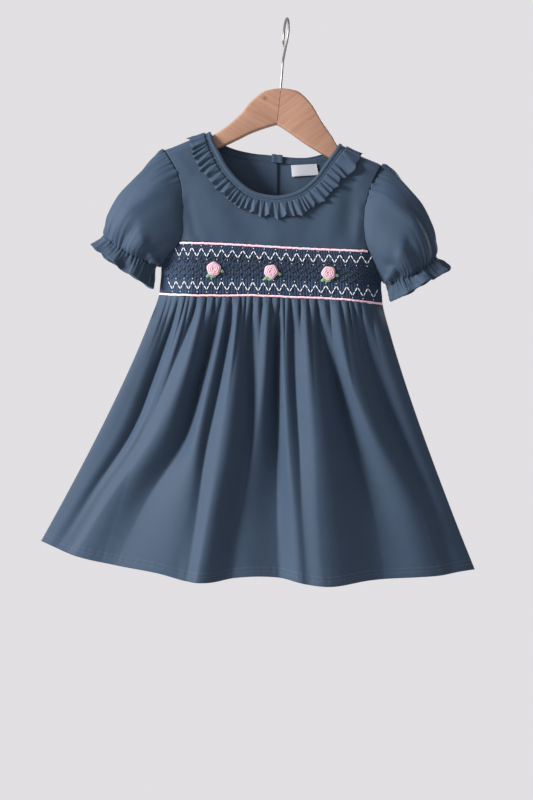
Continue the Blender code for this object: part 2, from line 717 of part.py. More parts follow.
def sleeve(tab, hole, side, a, r):
    """Sleeve surface. a goes round from the top over the front, r counts the sections."""
    a, r = np.broadcast_arrays(np.asarray(a, dtype=float), np.asarray(r, dtype=float))
    rows = np.arange(SLEEVE_ROWS + 1, dtype=float)
    get = {name: through(rows, tab[name], r) for name in tab}
    theta = 2 * math.pi * a
    cos = np.cos(theta)
    sin = np.sin(theta)
    is_front = sin >= 0
    cx = (get["x_top"] + get["x_under"]) / 2
    cz = (get["z_top"] + get["z_under"]) / 2
    hx = (get["x_top"] - get["x_under"]) / 2
    hz = (get["z_top"] - get["z_under"]) / 2
    chord = np.hypot(hx, hz)
    out = -1.0 if side == "left" else 1.0
    nx = out * hz / chord
    nz = -out * hx / chord
    x = cx + hx * cos + nx * get["bow"] * sin**2
    z = cz + hz * cos + nz * get["bow"] * sin**2
    y = -np.where(is_front, get["front"], get["back"]) * sin

    top_z = hole["z"][-1]
    under_z = hole["z"][0]
    z0 = top_z + (under_z - top_z) * (1 - cos) / 2
    side_tab = SIDE_LEFT if side == "left" else SIDE_RIGHT
    exact = []
    for face in ("front", "back"):
        e = edge(hole, side_tab, face, np.maximum(z0, under_z + 1e-6))
        p = body(face, e[..., 0], e[..., 1], 0.0, 0.0)
        p[..., 1] = p[..., 1] * np.sqrt(np.abs(sin))
        h = 0.8
        above = armhole_x(hole, face, np.minimum(z0 + h, top_z))
        below = armhole_x(hole, face, np.maximum(z0 - h, under_z))
        slope = (above - below) / (np.minimum(z0 + h, top_z) - np.maximum(z0 - h, under_z))
        length = np.hypot(1.0, slope)
        p[..., 0] = p[..., 0] + out * SLEEVE_START / length
        p[..., 2] = p[..., 2] - out * SLEEVE_START * slope / length
        exact.append(p)
    start = np.where(is_front[..., None], exact[0], exact[1])
    base0 = {name: tab[name][0] for name in tab}
    bx = (base0["x_top"] + base0["x_under"]) / 2 + (base0["x_top"] - base0["x_under"]) / 2 * cos
    bz = (base0["z_top"] + base0["z_under"]) / 2 + (base0["z_top"] - base0["z_under"]) / 2 * cos
    by = -np.where(is_front, base0["front"], base0["back"]) * sin
    keep = 1 - ease(r / 3.0)
    x = x + (start[..., 0] - bx) * keep
    y = y + (start[..., 1] - by) * keep
    z = z + (start[..., 2] - bz) * keep

    frill = np.clip((r - 6.0) / 2.0, 0.0, 1.0)
    wave = np.cos(2 * math.pi * (FRILL_WAVES * a + 0.15)) * frill * 2.6
    x = x + wave * out * 0.75 * np.abs(cos)
    y = y - wave * sin
    z = z + wave * 0.3
    return np.stack([x, y, z], axis=-1)


def normals(surface, u, v, wrap=False):
    """Unit normals of a surface by small steps along it."""
    h = 0.0015
    u0 = u - h if wrap else np.maximum(u - h, 0.0)
    u1 = u + h if wrap else np.minimum(u + h, 1.0)
    v0 = np.maximum(v - h, 0.0)
    v1 = np.minimum(v + h, 1.0)
    across = surface(u1, v) - surface(u0, v)
    along = surface(u, v1) - surface(u, v0)
    return unit(np.cross(across, along))


def steps(*values):
    return np.array(values, dtype=float)


materials = {}


def material(name, colour, roughness, metallic=0.0):
    mat = bpy.data.materials.new(name)
    mat.use_nodes = True
    shader = mat.node_tree.nodes["Principled BSDF"]
    shader.inputs["Base Color"].default_value = (*colour, 1.0)
    shader.inputs["Roughness"].default_value = roughness
    shader.inputs["Metallic"].default_value = metallic
    mat.diffuse_color = (*colour, 1.0)
    materials[name] = mat


material("navy_jersey", (0.075, 0.105, 0.155), 0.85)
material("smocked_jersey", (0.060, 0.090, 0.135), 0.88)
material("pink_piping", (0.80, 0.50, 0.58), 0.70)
material("light_wood", (0.50, 0.27, 0.16), 0.50)
material("steel_wire", (0.55, 0.55, 0.56), 0.30, 1.0)
material("button_plastic", (0.10, 0.13, 0.19), 0.35)
material("label_white", (0.74, 0.74, 0.80), 0.80)

parents = {}
for name in ("dress", "hanger"):
    holder = bpy.data.objects.new(name, None)
    bpy.context.scene.collection.objects.link(holder)
    parents[name] = holder


def add_object(name, verts, faces, mat, parent, smooth_angle=40.0):
    """Object with its own origin at the middle of its points, parented to a group."""
    verts = np.asarray(verts, dtype=float) * MM
    middle = (verts.min(axis=0) + verts.max(axis=0)) / 2
    mesh = bpy.data.meshes.new(name)
    mesh.from_pydata([tuple(v) for v in verts - middle], [], faces)
    bm = bmesh.new()
    bm.from_mesh(mesh)
    bmesh.ops.recalc_face_normals(bm, faces=bm.faces)
    bm.to_mesh(mesh)
    bm.free()
    mesh.shade_smooth()
    mesh.set_sharp_from_angle(angle=math.radians(smooth_angle))
    mesh.materials.append(materials[mat])
    obj = bpy.data.objects.new(name, mesh)
    bpy.context.scene.collection.objects.link(obj)
    obj.location = Vector(middle)
    obj.parent = parents[parent]
    return obj


def add_wall(name, surface, us, vs, half, mat, wrap=False):
    """Closed wall of cloth on both sides of a surface."""
    u, v = np.meshgrid(us, vs)
    p = surface(u, v)
    n = normals(surface, u, v, wrap)
    rows, cols = u.shape
    verts = np.concatenate([(p + n * half).reshape(-1, 3), (p - n * half).reshape(-1, 3)])
    size = rows * cols
    faces = []
    span = cols if wrap else cols - 1
    for j in range(rows - 1):
        for i in range(span):
            a = j * cols + i
            b = j * cols + (i + 1) % cols
            c = b + cols
            d = a + cols
            faces.append((a, b, c, d))
            faces.append((size + d, size + c, size + b, size + a))
    for i in range(span):
        a = i
        b = (i + 1) % cols
        faces.append((b, a, size + a, size + b))
        a = (rows - 1) * cols + i
        b = (rows - 1) * cols + (i + 1) % cols
        faces.append((a, b, size + b, size + a))
    if not wrap:
        for j in range(rows - 1):
            a = j * cols
            faces.append((a, a + cols, size + a + cols, size + a))
            a = j * cols + cols - 1
            faces.append((a + cols, a, size + a, size + a + cols))
    return add_object(name, verts, faces, mat, "dress")


def add_tube(name, path, radius, sides, mat, parent, taper_end=False):
    """Round cord or wire along a path of points."""
    path = np.asarray(path, dtype=float)
    tangents = unit(np.gradient(path, axis=0))
    side = unit(np.cross(tangents[0], np.array([1.0, 0.3, 0.2])))
    verts = []
    count = len(path)
    for i in range(count):
        side = unit(side - tangents[i] * np.dot(side, tangents[i]))
        other = np.cross(tangents[i], side)
        size = radius
        if taper_end and i == count - 1:
            size = radius * 0.55
        for k in range(sides):
            angle = 2 * math.pi * k / sides
            verts.append(path[i] + size * (side * math.cos(angle) + other * math.sin(angle)))
    faces = []
    for i in range(count - 1):
        for k in range(sides):
            a = i * sides + k
            b = i * sides + (k + 1) % sides
            faces.append((a, b, b + sides, a + sides))
    faces.append(tuple(range(sides))[::-1])
    faces.append(tuple((count - 1) * sides + k for k in range(sides)))
    return add_object(name, verts, faces, mat, parent)


def add_arm(name, tab, count, wave):
    """Wooden arm through rounded rectangular sections."""
    rows = np.arange(len(tab["x_top"]), dtype=float)
    stations = np.linspace(0, rows[-1], count)
    verts = []
    for r in stations:
        x_top, z_top, x_low, z_low, half = (float(through(rows, tab[c], r)) for c in ARM_COLUMNS.split())
        height = z_top - z_low
        radius = min(3.0, half * 0.9, height * 0.4)
        for cy, cz, first in ((1, 1, 0), (-1, 1, 90), (-1, -1, 180), (1, -1, 270)):
            for step in (0, 45, 90):
                angle = math.radians(first + step)
                y = cy * (half - radius) + radius * math.cos(angle)
                rise = height / 2 + cz * (height / 2 - radius) + radius * math.sin(angle)
                share = rise / height
                verts.append((x_low + (x_top - x_low) * share, y, z_low + rise))
    ring = 12
    faces = []
    for i in range(count - 1):
        for k in range(ring):
            a = i * ring + k
            b = i * ring + (k + 1) % ring
            faces.append((a, b, b + ring, a + ring))
    faces.append(tuple(range(ring))[::-1])
    faces.append(tuple((count - 1) * ring + k for k in range(ring)))
    return add_object(name, verts, faces, "light_wood", "hanger", 30.0)


def inset(count, low, high):
    return np.linspace(low, high, count)


# Front of the body
yoke_rows = steps(0.0018, 0.033, 0.066, 0.10, 0.14, 0.25, 0.40, 0.56, 0.71, 0.85, 1.0)
neck_half = steps(0.0, 0.013, 0.029, 0.048, 0.073, 0.11, 0.17, 0.26, 0.38, 0.5)
neck_steps = np.concatenate([neck_half, 1 - neck_half[-2::-1]])
yoke_left = np.linspace(0.0008, NECK_START, 4)[:-1]
yoke_neck = NECK_START + (NECK_END - NECK_START) * neck_steps
yoke_right = np.linspace(NECK_END, 0.9992, 4)[1:]
add_wall("front_yoke", yoke, np.concatenate([yoke_left, yoke_neck, yoke_right]), yoke_rows, HALF, "navy_jersey")
add_wall("smocked_band", band, inset(21, 0.0008, 0.9992), inset(5, 0.0, 1.0), HALF, "smocked_jersey")

# Back of the body
back_neck_steps = steps(0.0, 0.022, 0.05, 0.085, 0.13, 0.21, 0.34, 0.54, 0.77, 1.0)
back_rows = steps(0.0012, 0.021, 0.042, 0.063, 0.09, 0.17, 0.29, 0.42, 0.54, 0.65, 0.74, 0.81, 1.0)
left_columns = np.concatenate([inset(3, 0.0012, 0.33)[:-1], 0.33 + 0.67 * back_neck_steps])
right_columns = np.concatenate([0.72 * (1 - back_neck_steps[::-1]), inset(3, 0.72, 0.9990)[1:]])
add_wall("back_bodice_left", back_left, left_columns, back_rows, HALF, "navy_jersey")
add_wall("back_bodice_right", back_right, right_columns, back_rows, HALF, "navy_jersey")

# Skirt
skirt_rows = steps(0.0, 0.035, 0.09, 0.18, 0.30, 0.43, 0.56, 0.69, 0.82, 1.0)
add_wall(
    "front_skirt", lambda u, v: skirt("front", u, v), inset(51, 0.0, 1.0), skirt_rows, HALF, "navy_jersey"
)
add_wall(
    "back_skirt", lambda u, v: skirt("back", u, v), inset(39, 0.0, 1.0), skirt_rows, HALF, "navy_jersey"
)

# Neck
gap_share = float(back_share(PLACKET_EDGE))
under_share = float(back_share(PLACKET_UNDER))
left_shares = gap_share * back_neck_steps
right_shares = under_share + (1 - under_share) * (1 - back_neck_steps)
right_shares = right_shares[right_shares > gap_share]
binding_steps = np.concatenate(
    [
        [0.0012],
        ((1 - left_shares / gap_share) / 3)[-2::-1],
        (1 + neck_steps[1:]) / 3,
        ((2 + (1 - right_shares) / (1 - gap_share)) / 3)[1:],
        [0.9988],
    ]
)
add_wall("neck_binding", binding, binding_steps, steps(0.04, 1.0), BINDING_HALF, "navy_jersey")
add_wall("neck_ruffle", ruffle, inset(133, 0.0015, 0.9985), steps(0.03, 1.0), RUFFLE_HALF, "navy_jersey")

# Sleeves
round_steps = np.arange(32) / 32.0
sleeve_rows = steps(0.0, 0.12, 0.25, 0.40, 0.55, 0.68, 0.75, 0.86, 1.0)
add_wall(
    "sleeve_left",
    lambda a, v: sleeve(SLEEVE_LEFT, ARMHOLE_LEFT, "left", a, v * SLEEVE_ROWS),
    round_steps,
    sleeve_rows,
    HALF,
    "navy_jersey",
    wrap=True,
)
add_wall(
    "sleeve_right",
    lambda a, v: sleeve(SLEEVE_RIGHT, ARMHOLE_RIGHT, "right", a, v * SLEEVE_ROWS),
    round_steps,
    sleeve_rows,
    HALF,
    "navy_jersey",
    wrap=True,
)

# Piping
for name, tab in (("piping_upper", YOKE_SEAM), ("piping_waist", WAIST)):
    along = line(tab, tab["x"][0], tab["x"][-1], np.linspace(0.005, 0.995, 19))
    path = body("front", along[:, 0], along[:, 1], 0.6)
    add_tube(name, path, PIPING_RADIUS, 6, "pink_piping", "dress")


# Bare label inside the back neck
def label(u, v):
    top_x = 5.4 + (33.6 - 5.4) * u
    top_z = -158.6 + (-157.2 + 158.6) * u
    low_x = 6.3 + (36.1 - 6.3) * u
    low_z = -171.4 + (-169.4 + 171.4) * u
    x = top_x + (low_x - top_x) * v
    z = top_z + (low_z - top_z) * v
    return body("back", x, reach_of(x, z), lap(x) - HALF - SEAM_GAP - 0.65)


add_wall("neck_label", label, inset(6, 0.0, 1.0), inset(4, 0.0, 1.0), 0.5, "label_white")

# Back buttons
for number, height in enumerate(BUTTON_HEIGHTS, start=1):
    x = np.array([BUTTON_X])
    q = reach_of(x, np.array([height]))
    low = body("back", x, q, lap(x) + HALF + SEAM_GAP)[0]
    high = body("back", x, q, lap(x) + HALF + SEAM_GAP + 10.0)[0]
    direction = Vector(high - low).normalized()
    bm = bmesh.new()
    bmesh.ops.create_cone(
        bm,
        cap_ends=True,
        segments=20,
        radius1=BUTTON_RADIUS * MM,
        radius2=BUTTON_RADIUS * 0.86 * MM,
        depth=BUTTON_THICK * MM,
        matrix=Matrix.Translation((0, 0, BUTTON_THICK / 2 * MM)),
    )
    bmesh.ops.recalc_face_normals(bm, faces=bm.faces)
    mesh = bpy.data.meshes.new(f"button_{number}")
    bm.to_mesh(mesh)
    bm.free()
    mesh.shade_smooth()
    mesh.set_sharp_from_angle(angle=math.radians(30))
    mesh.materials.append(materials["button_plastic"])
    obj = bpy.data.objects.new(f"button_{number}", mesh)
    bpy.context.scene.collection.objects.link(obj)
    obj.location = Vector(low) * MM
    obj.rotation_euler = direction.to_track_quat("Z", "Y").to_euler()
    obj.parent = parents["dress"]

# Hanger with a half-round socket for the wire in each wooden arm
arm_left = add_arm("hanger_arm_left", ARM_LEFT, 22, 0)
arm_right = add_arm("hanger_arm_right", ARM_RIGHT, 22, 0)
socket_mesh = bpy.data.meshes.new("socket")
bm = bmesh.new()
bmesh.ops.create_cone(
    bm, cap_ends=True, segments=16, radius1=SOCKET_RADIUS * MM, radius2=SOCKET_RADIUS * MM, depth=34 * MM
)
bm.to_mesh(socket_mesh)
bm.free()
socket = bpy.data.objects.new("socket", socket_mesh)
bpy.context.scene.collection.objects.link(socket)
socket.location = (-6.1 * MM, 0.0, (-95.3 + 17.0) * MM)
socket.hide_render = True
socket.display_type = "WIRE"
for arm in (arm_left, arm_right):
    cut = arm.modifiers.new("wire socket", "BOOLEAN")
    cut.operation = "DIFFERENCE"
    cut.solver = "EXACT"
    cut.object = socket

stations = np.arange(len(HOOK_PATH["x"]), dtype=float)
fine = np.linspace(0, stations[-1], 40)
hook = np.stack([through(stations, HOOK_PATH[c], fine) for c in ("x", "y", "z")], axis=-1)
add_tube("hook_wire", hook, WIRE_RADIUS, 8, "steel_wire", "hanger", taper_end=True)
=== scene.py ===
"""Looks of the smocked dress on its wooden hanger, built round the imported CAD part.

The tables and surface functions in the first half are the part's own, in millimetres.
The second half reads them finely, adds pleats, gathers, creases and stitches, and makes
the thin shells, the trims, the materials, the light and the camera.
"""

import math

import bmesh
import bpy
import numpy as np
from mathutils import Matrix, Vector


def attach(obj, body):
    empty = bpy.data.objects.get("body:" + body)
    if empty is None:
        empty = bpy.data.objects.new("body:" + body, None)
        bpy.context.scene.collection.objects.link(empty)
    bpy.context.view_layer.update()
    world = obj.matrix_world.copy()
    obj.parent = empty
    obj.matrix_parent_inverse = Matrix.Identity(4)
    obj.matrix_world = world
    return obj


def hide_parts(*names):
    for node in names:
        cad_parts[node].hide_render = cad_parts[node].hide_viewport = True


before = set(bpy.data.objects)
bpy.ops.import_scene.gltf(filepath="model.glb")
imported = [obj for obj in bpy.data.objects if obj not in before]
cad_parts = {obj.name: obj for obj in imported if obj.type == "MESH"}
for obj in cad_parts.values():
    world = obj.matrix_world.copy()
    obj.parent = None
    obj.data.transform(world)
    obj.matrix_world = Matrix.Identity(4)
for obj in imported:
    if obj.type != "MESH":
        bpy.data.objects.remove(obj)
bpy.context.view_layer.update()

MM = 0.001

# Cloth walls and seams
WALL = 1.2
HALF = WALL / 2
SEAM_GAP = 0.3
NECK_ROOM = 0.3
PIPING_RADIUS = 1.2
PIPING_ROOM = PIPING_RADIUS + SEAM_GAP
SHOULDER_PARTING = 0.2
SIDE_PARTING = 0.8

# Fit of the body over the hanger
SHOULDER_DROP = 9.0
SHOULDER_ARC = 15.3
SIDE_ROUND = 40.0

# Back placket and its buttons
PLACKET_EDGE = -9.6
PLACKET_UNDER = -35.7
LAP_LIFT = 1.7
BUTTON_RADIUS = 5.5
BUTTON_X = -22.5
BUTTON_HEIGHTS = (-187.0, -231.0, -275.0)

# Neck ruffle
RUFFLE_WIDTH = 16.5
RUFFLE_OVER_SHOULDER = 0.8

# Skirt
SKIRT_SPREAD = 1.18
HEM_DEPTH_FRONT = 50.0
HEM_DEPTH_BACK = 46.0

# Sleeves
SLEEVE_START = 0.25
FRILL_WAVES = 8

# Hook
WIRE_RADIUS = 1.4


def table(columns, *rows):
    """Short table with named columns, a row for each section or station."""
    values = np.array(rows, dtype=float)
    return {name: values[:, i] for i, name in enumerate(columns.split())}


SHOULDER = table(
    "x z",
    (-133.7, -143.6),
    (-126.0, -141.1),
    (-106.7, -133.1),
    (-84.4, -124.5),
    (57.4, -137.4),
    (80.2, -150.0),
    (101.6, -158.8),
    (104.0, -160.8),
)

# Where the outline of the body closes at the sides, for the roundness of the body
SIDE_LEFT = table(
    "z x",
    (-312.0, -139.8),
    (-301.4, -139.6),
    (-271.5, -137.7),
    (-259.0, -139.3),
    (-234.0, -144.0),
    (-190.0, -152.0),
    (-143.0, -165.0),
)
SIDE_RIGHT = table(
    "z x",
    (-320.0, 105.9),
    (-312.6, 105.5),
    (-287.3, 104.2),
    (-275.0, 105.8),
    (-250.0, 110.5),
    (-205.0, 118.5),
    (-160.0, 131.0),
)

# Half depth of the body by distance below the shoulder line
BODY_DEPTH = table(
    "drop front back",
    (0.0, 10.5, 10.5),
    (60.0, 15.0, 12.5),
    (110.0, 18.0, 14.5),
    (165.0, 22.0, 18.0),
    (200.0, 24.0, 20.0),
)

NECK_FRONT = table(
    "x_seam z_seam x_open z_open",
    (-89.2, -126.3, -83.3, -124.1),
    (-88.0, -134.6, -82.0, -132.0),
    (-83.0, -148.1, -75.7, -144.0),
    (-73.5, -166.2, -66.3, -161.2),
    (-59.2, -183.0, -53.4, -177.3),
    (-41.3, -196.2, -37.9, -189.3),
    (-21.2, -202.1, -20.4, -194.8),
    (-2.2, -202.1, -4.0, -194.8),
    (17.9, -195.5, 14.1, -189.3),
    (35.8, -180.6, 30.5, -176.2),
    (47.6, -165.0, 41.7, -161.2),
    (58.5, -150.4, 51.8, -147.0),
    (63.4, -144.6, 56.6, -140.4),
    (64.7, -141.5, 57.4, -137.4),
)
NECK_BACK = table(
    "x_seam z_seam x_open z_open",
    (-89.2, -126.3, -83.3, -124.1),
    (-88.2, -129.2, -82.6, -126.4),
    (-81.6, -136.7, -76.7, -131.5),
    (-70.0, -144.1, -66.7, -137.8),
    (-55.7, -149.5, -53.5, -142.6),
    (-36.9, -152.7, -35.8, -146.3),
    (-21.4, -154.3, -21.4, -147.7),
    (-6.0, -156.0, -6.0, -149.4),
    (10.6, -157.1, 9.5, -150.8),
    (26.1, -156.7, 23.9, -150.6),
    (42.6, -153.2, 38.2, -147.4),
    (56.4, -147.0, 50.3, -142.7),
    (63.6, -143.4, 56.8, -139.2),
    (64.7, -141.5, 57.4, -137.4),
)

ARMHOLE_LEFT = table(
    "z x_front x_back",
    (-271.5, -137.7, -137.7),
    (-259.2, -128.3, -131.3),
    (-246.6, -117.2, -124.6),
    (-234.0, -113.5, -120.8),
    (-218.6, -113.7, -119.7),
    (-201.1, -113.8, -119.7),
    (-183.6, -115.1, -120.8),
    (-168.2, -119.5, -124.1),
    (-155.1, -126.6, -129.1),
    (-143.6, -133.7, -133.7),
)
ARMHOLE_RIGHT = table(
    "z x_front x_back",
    (-287.3, 104.2, 104.2),
    (-275.6, 98.5, 101.1),
    (-262.5, 92.5, 97.2),
    (-249.3, 87.4, 94.0),
    (-235.1, 85.1, 92.2),
    (-217.5, 84.5, 92.0),
    (-200.0, 87.2, 93.3),
    (-184.7, 91.9, 96.6),
    (-171.5, 97.7, 100.5),
    (-160.8, 104.0, 104.0),
)

YOKE_SEAM = table(
    "x z",
    (-117.0, -246.5),
    (-94.6, -247.1),
    (-70.9, -248.0),
    (-32.4, -250.1),
    (7.5, -252.4),
    (47.3, -254.2),
    (88.8, -255.6),
)
WAIST = table(
    "x z",
    (-139.6, -301.4),
    (-116.4, -303.4),
    (-70.8, -304.5),
    (-40.0, -304.2),
    (7.4, -306.1),
    (50.9, -307.8),
    (80.0, -310.3),
    (105.5, -312.6),
)
HEM = table(
    "u z",
    (0.00, -572.0),
    (0.03, -578.0),
    (0.06, -584.1),
    (0.11, -591.0),
    (0.17, -596.8),
    (0.28, -605.8),
    (0.34, -613.1),
    (0.39, -614.1),
    (0.45, -609.7),
    (0.50, -608.6),
    (0.56, -610.8),
    (0.61, -616.2),
    (0.66, -618.5),
    (0.75, -613.5),
    (0.87, -610.3),
    (0.92, -608.9),
    (0.97, -605.4),
    (1.00, -603.9),
)
HEM_LEFT_X = -267.9
HEM_RIGHT_X = 206.3


# Sleeve sections from the armhole to the frill's edge: the upper and the under point of
# each ring, its half depth in front and behind, and how far its middle bows outwards
SLEEVE_COLUMNS = "x_top z_top x_under z_under front back bow"
SLEEVE_LEFT = table(
    SLEEVE_COLUMNS,
    (-133.7, -142.6, -137.7, -272.1, 17.0, 14.0, 0.0),
    (-149.0, -153.5, -138.9, -271.9, 25.0, 22.0, 0.0),
    (-166.7, -176.0, -140.1, -271.4, 31.0, 28.0, 0.0),
    (-183.2, -195.8, -141.3, -270.8, 33.0, 30.0, 0.0),
    (-194.0, -215.6, -142.5, -270.0, 30.0, 28.0, 1.0),
    (-198.8, -230.8, -143.7, -269.2, 23.0, 22.0, 3.0),
    (-199.4, -238.0, -144.9, -268.6, 19.0, 19.0, 4.5),
    (-206.4, -244.0, -147.4, -282.7, 23.0, 22.0, 3.0),
    (-214.6, -249.6, -150.5, -295.6, 27.0, 26.0, 1.5),
)
SLEEVE_RIGHT = table(
    SLEEVE_COLUMNS,
    (104.0, -159.8, 104.4, -288.0, 17.0, 14.0, 0.0),
    (118.6, -166.0, 105.7, -288.6, 25.0, 22.0, 0.0),
    (134.8, -187.8, 107.0, -289.2, 31.0, 28.0, 0.0),
    (148.5, -207.0, 108.3, -289.8, 33.0, 30.0, 0.0),
    (159.2, -229.9, 109.6, -290.3, 30.0, 28.0, 1.0),
    (164.4, -249.7, 110.8, -290.8, 23.0, 22.0, 3.0),
    (163.2, -261.4, 111.9, -291.2, 19.0, 19.0, 4.5),
    (171.2, -267.4, 113.6, -301.0, 23.0, 22.0, 3.0),
    (180.2, -274.8, 115.3, -310.6, 27.0, 26.0, 1.5),
)
SLEEVE_ROWS = 8

# Wooden arms: upper and lower edge and half thickness at each station
ARM_COLUMNS = "x_top z_top x_low z_low half"
ARM_LEFT = table(
    ARM_COLUMNS,
    (-6.3, -75.4, -10.7, -115.5, 6.0),
    (-16.0, -76.6, -18.0, -117.5, 6.0),
    (-27.0, -80.3, -27.0, -120.4, 6.0),
    (-40.2, -91.3, -40.2, -125.4, 6.0),
    (-51.2, -104.5, -51.2, -130.9, 6.0),
    (-67.7, -118.8, -67.7, -138.6, 6.0),
    (-87.5, -130.9, -87.5, -146.3, 5.8),
    (-106.2, -136.4, -106.2, -152.0, 5.4),
    (-120.0, -140.3, -120.0, -156.5, 5.0),
    (-129.0, -144.6, -128.4, -158.6, 4.6),
    (-131.0, -148.5, -130.6, -155.5, 2.6),
)
ARM_RIGHT = table(
    ARM_COLUMNS,
    (-6.0, -75.4, -10.4, -115.5, 6.0),
    (4.5, -76.6, -3.0, -120.0, 6.0),
    (14.9, -80.3, 5.5, -125.8, 6.0),
    (28.0, -93.5, 20.4, -136.4, 6.0),
    (39.1, -112.2, 34.7, -145.2, 6.0),
    (50.5, -128.8, 47.5, -152.4, 6.0),
    (57.4, -139.9, 56.0, -157.6, 6.0),
    (66.0, -144.4, 65.0, -161.8, 5.8),
    (80.2, -152.2, 79.4, -167.2, 5.4),
    (92.0, -157.2, 91.6, -171.0, 5.0),
    (100.0, -161.6, 99.6, -173.0, 4.4),
    (102.4, -163.4, 102.2, -169.5, 2.6),
)

# Centre line of the hook's wire, from the wood over the rod to its free end
HOOK_PATH = table(
    "x y z",
    (-6.1, 0.0, -95.0),
    (-6.1, 0.0, -75.4),
    (-5.0, 0.0, -60.5),
    (-3.9, -1.0, -46.4),
    (-2.4, -7.0, -38.5),
    (-0.5, -13.5, -30.0),
    (1.5, -16.6, -20.0),
    (2.4, -16.0, -11.5),
    (2.0, -11.0, -3.2),
    (0.4, 0.0, 1.4),
    (-1.6, 11.0, -3.2),
    (-2.6, 16.0, -11.5),
    (-3.1, 16.2, -20.0),
    (-3.3, 13.0, -27.0),
)


def points(*parts):
    """Points from a value of each part."""
    return np.stack(parts, axis=-1)


def through(xs, ys, x):
    """Smooth curve through the points of a table, carried on straight past its ends."""
    x = np.asarray(x, dtype=float)
    inside = np.clip(x, xs[0], xs[-1])
    step = np.diff(xs)
    slope = np.diff(ys) / step
    tangent = np.empty_like(ys)
    tangent[0] = slope[0]
    tangent[-1] = slope[-1]
    tangent[1:-1] = (slope[:-1] * step[1:] + slope[1:] * step[:-1]) / (step[:-1] + step[1:])
    i = np.clip(np.searchsorted(xs, inside, side="right") - 1, 0, len(xs) - 2)
    t = (inside - xs[i]) / step[i]
    value = (
        (2 * t**3 - 3 * t**2 + 1) * ys[i]
        + (t**3 - 2 * t**2 + t) * step[i] * tangent[i]
        + (3 * t**2 - 2 * t**3) * ys[i + 1]
        + (t**3 - t**2) * step[i] * tangent[i + 1]
    )
    ends = np.where(x < xs[0], tangent[0], tangent[-1])
    return value + (x - inside) * ends


def ease(x):
    """Smooth step from 0 to 1."""
    x = np.clip(x, 0.0, 1.0)
    return x * x * (3 - 2 * x)


def bell(x, width, power=2):
    """1 in the middle, falling smoothly to nothing beyond a few widths."""
    return np.exp(-((x / width) ** power))


def shoulder_z(x):
    return np.interp(x, SHOULDER["x"], SHOULDER["z"])


def side_fullness(x, z):
    """1 in the middle of the body, falling to 0 where front and back meet at the side."""
    left = x - through(SIDE_LEFT["z"], SIDE_LEFT["x"], z)
    right = through(SIDE_RIGHT["z"], SIDE_RIGHT["x"], z) - x
    e = np.clip(np.minimum(left, right) / SIDE_ROUND, 0.0, 1.0)
    return 1 - (1 - e) ** 2


def drop_of(q):
    """Height lost below the shoulder line after a distance q along the cloth."""
    phi = np.clip(q / SHOULDER_ARC, 0.0, 1.0) * math.pi / 2
    return SHOULDER_DROP * (1 - np.cos(phi)) + np.maximum(q - SHOULDER_ARC, 0.0)


def reach_of(x, z):
    """Distance along the cloth from the shoulder line down to a height z."""
    s = np.maximum(shoulder_z(x) - z, 0.0)
    phi = np.arccos(np.clip(1 - s / SHOULDER_DROP, 0.0, 1.0))
    return np.where(s < SHOULDER_DROP, phi * 2 / math.pi * SHOULDER_ARC, SHOULDER_ARC + s - SHOULDER_DROP)


def body_raw(face, x, q, parting):
    phi = np.clip(q / SHOULDER_ARC, 0.0, 1.0) * math.pi / 2
    s = drop_of(q)
    z = shoulder_z(x) - s
    depth = through(BODY_DEPTH["drop"], BODY_DEPTH[face], s) * side_fullness(x, z)
    y = depth * np.sin(phi) + SIDE_PARTING * ease(s / 30.0) + parting
    sign = -1.0 if face == "front" else 1.0
    return points(x, sign * y, z)


def unit(v):
    return v / np.maximum(np.linalg.norm(v, axis=-1, keepdims=True), 1e-9)


def body(face, x, q, lift=0.0, parting=SHOULDER_PARTING):
    """Point on the body's cloth at x and q, moved outwards by lift."""
    x = np.asarray(x, dtype=float)
    q = np.asarray(q, dtype=float)
    p = body_raw(face, x, q, parting)
    if np.ndim(lift) == 0 and lift == 0.0:
        return p
    h = 0.4
    across = body_raw(face, x + h, q, parting) - body_raw(face, x - h, q, parting)
    down = body_raw(face, x, q + h, parting) - body_raw(face, x, np.maximum(q - h, 0), parting)
    n = unit(np.cross(down, across))
    if face == "back":
        n = -n
    return p + n * np.asarray(lift)[..., None]


def outline(tab, kind, t):
    """Neck edge in x and q. t runs from 0 at the left shoulder to 1 at the right one."""
    k = np.arange(len(tab["x_seam"])) / (len(tab["x_seam"]) - 1)
    x = through(k, tab["x_" + kind], t)
    z = through(k, tab["z_" + kind], t)
    return points(x, reach_of(x, z))


def seam_directions(tab, t):
    """Neck seam in x and q, with the way along it and the way out of the opening."""
    h = 0.004
    ahead = outline(tab, "seam", np.clip(t + h, 0, 1)) - outline(tab, "seam", np.clip(t - h, 0, 1))
    return outline(tab, "seam", t), ahead, points(-ahead[..., 1], ahead[..., 0])


def outside_neck(tab, t, distance):
    """Neck seam in x and q, moved away from the opening."""
    here, _, away = seam_directions(tab, t)
    moved = here + unit(away) * distance
    return points(moved[..., 0], np.maximum(moved[..., 1], 0.0))


def line(tab, x0, x1, t, shift=0.0):
    """Seam across the body in x and q, moved up by shift."""
    x = x0 + (x1 - x0) * np.asarray(t, dtype=float)
    z = through(tab["x"], tab["z"], x) + shift
    return points(x, reach_of(x, z))


def seam_q(tab, x, shift):
    """Distance along the cloth from the shoulder line down to a seam at x."""
    return float(line(tab, x, x, np.zeros(1), shift)[0][1])


def armhole_x(tab, face, z):
    return through(tab["z"], tab["x_" + face], z)


def edge(tab, side, face, z):
    """Left or right edge of the body at height z: armhole above, side seam below."""
    under = tab["z"][0]
    x = np.where(z > under, armhole_x(tab, face, z), through(side["z"], side["x"], z))
    return points(x, reach_of(x, z))


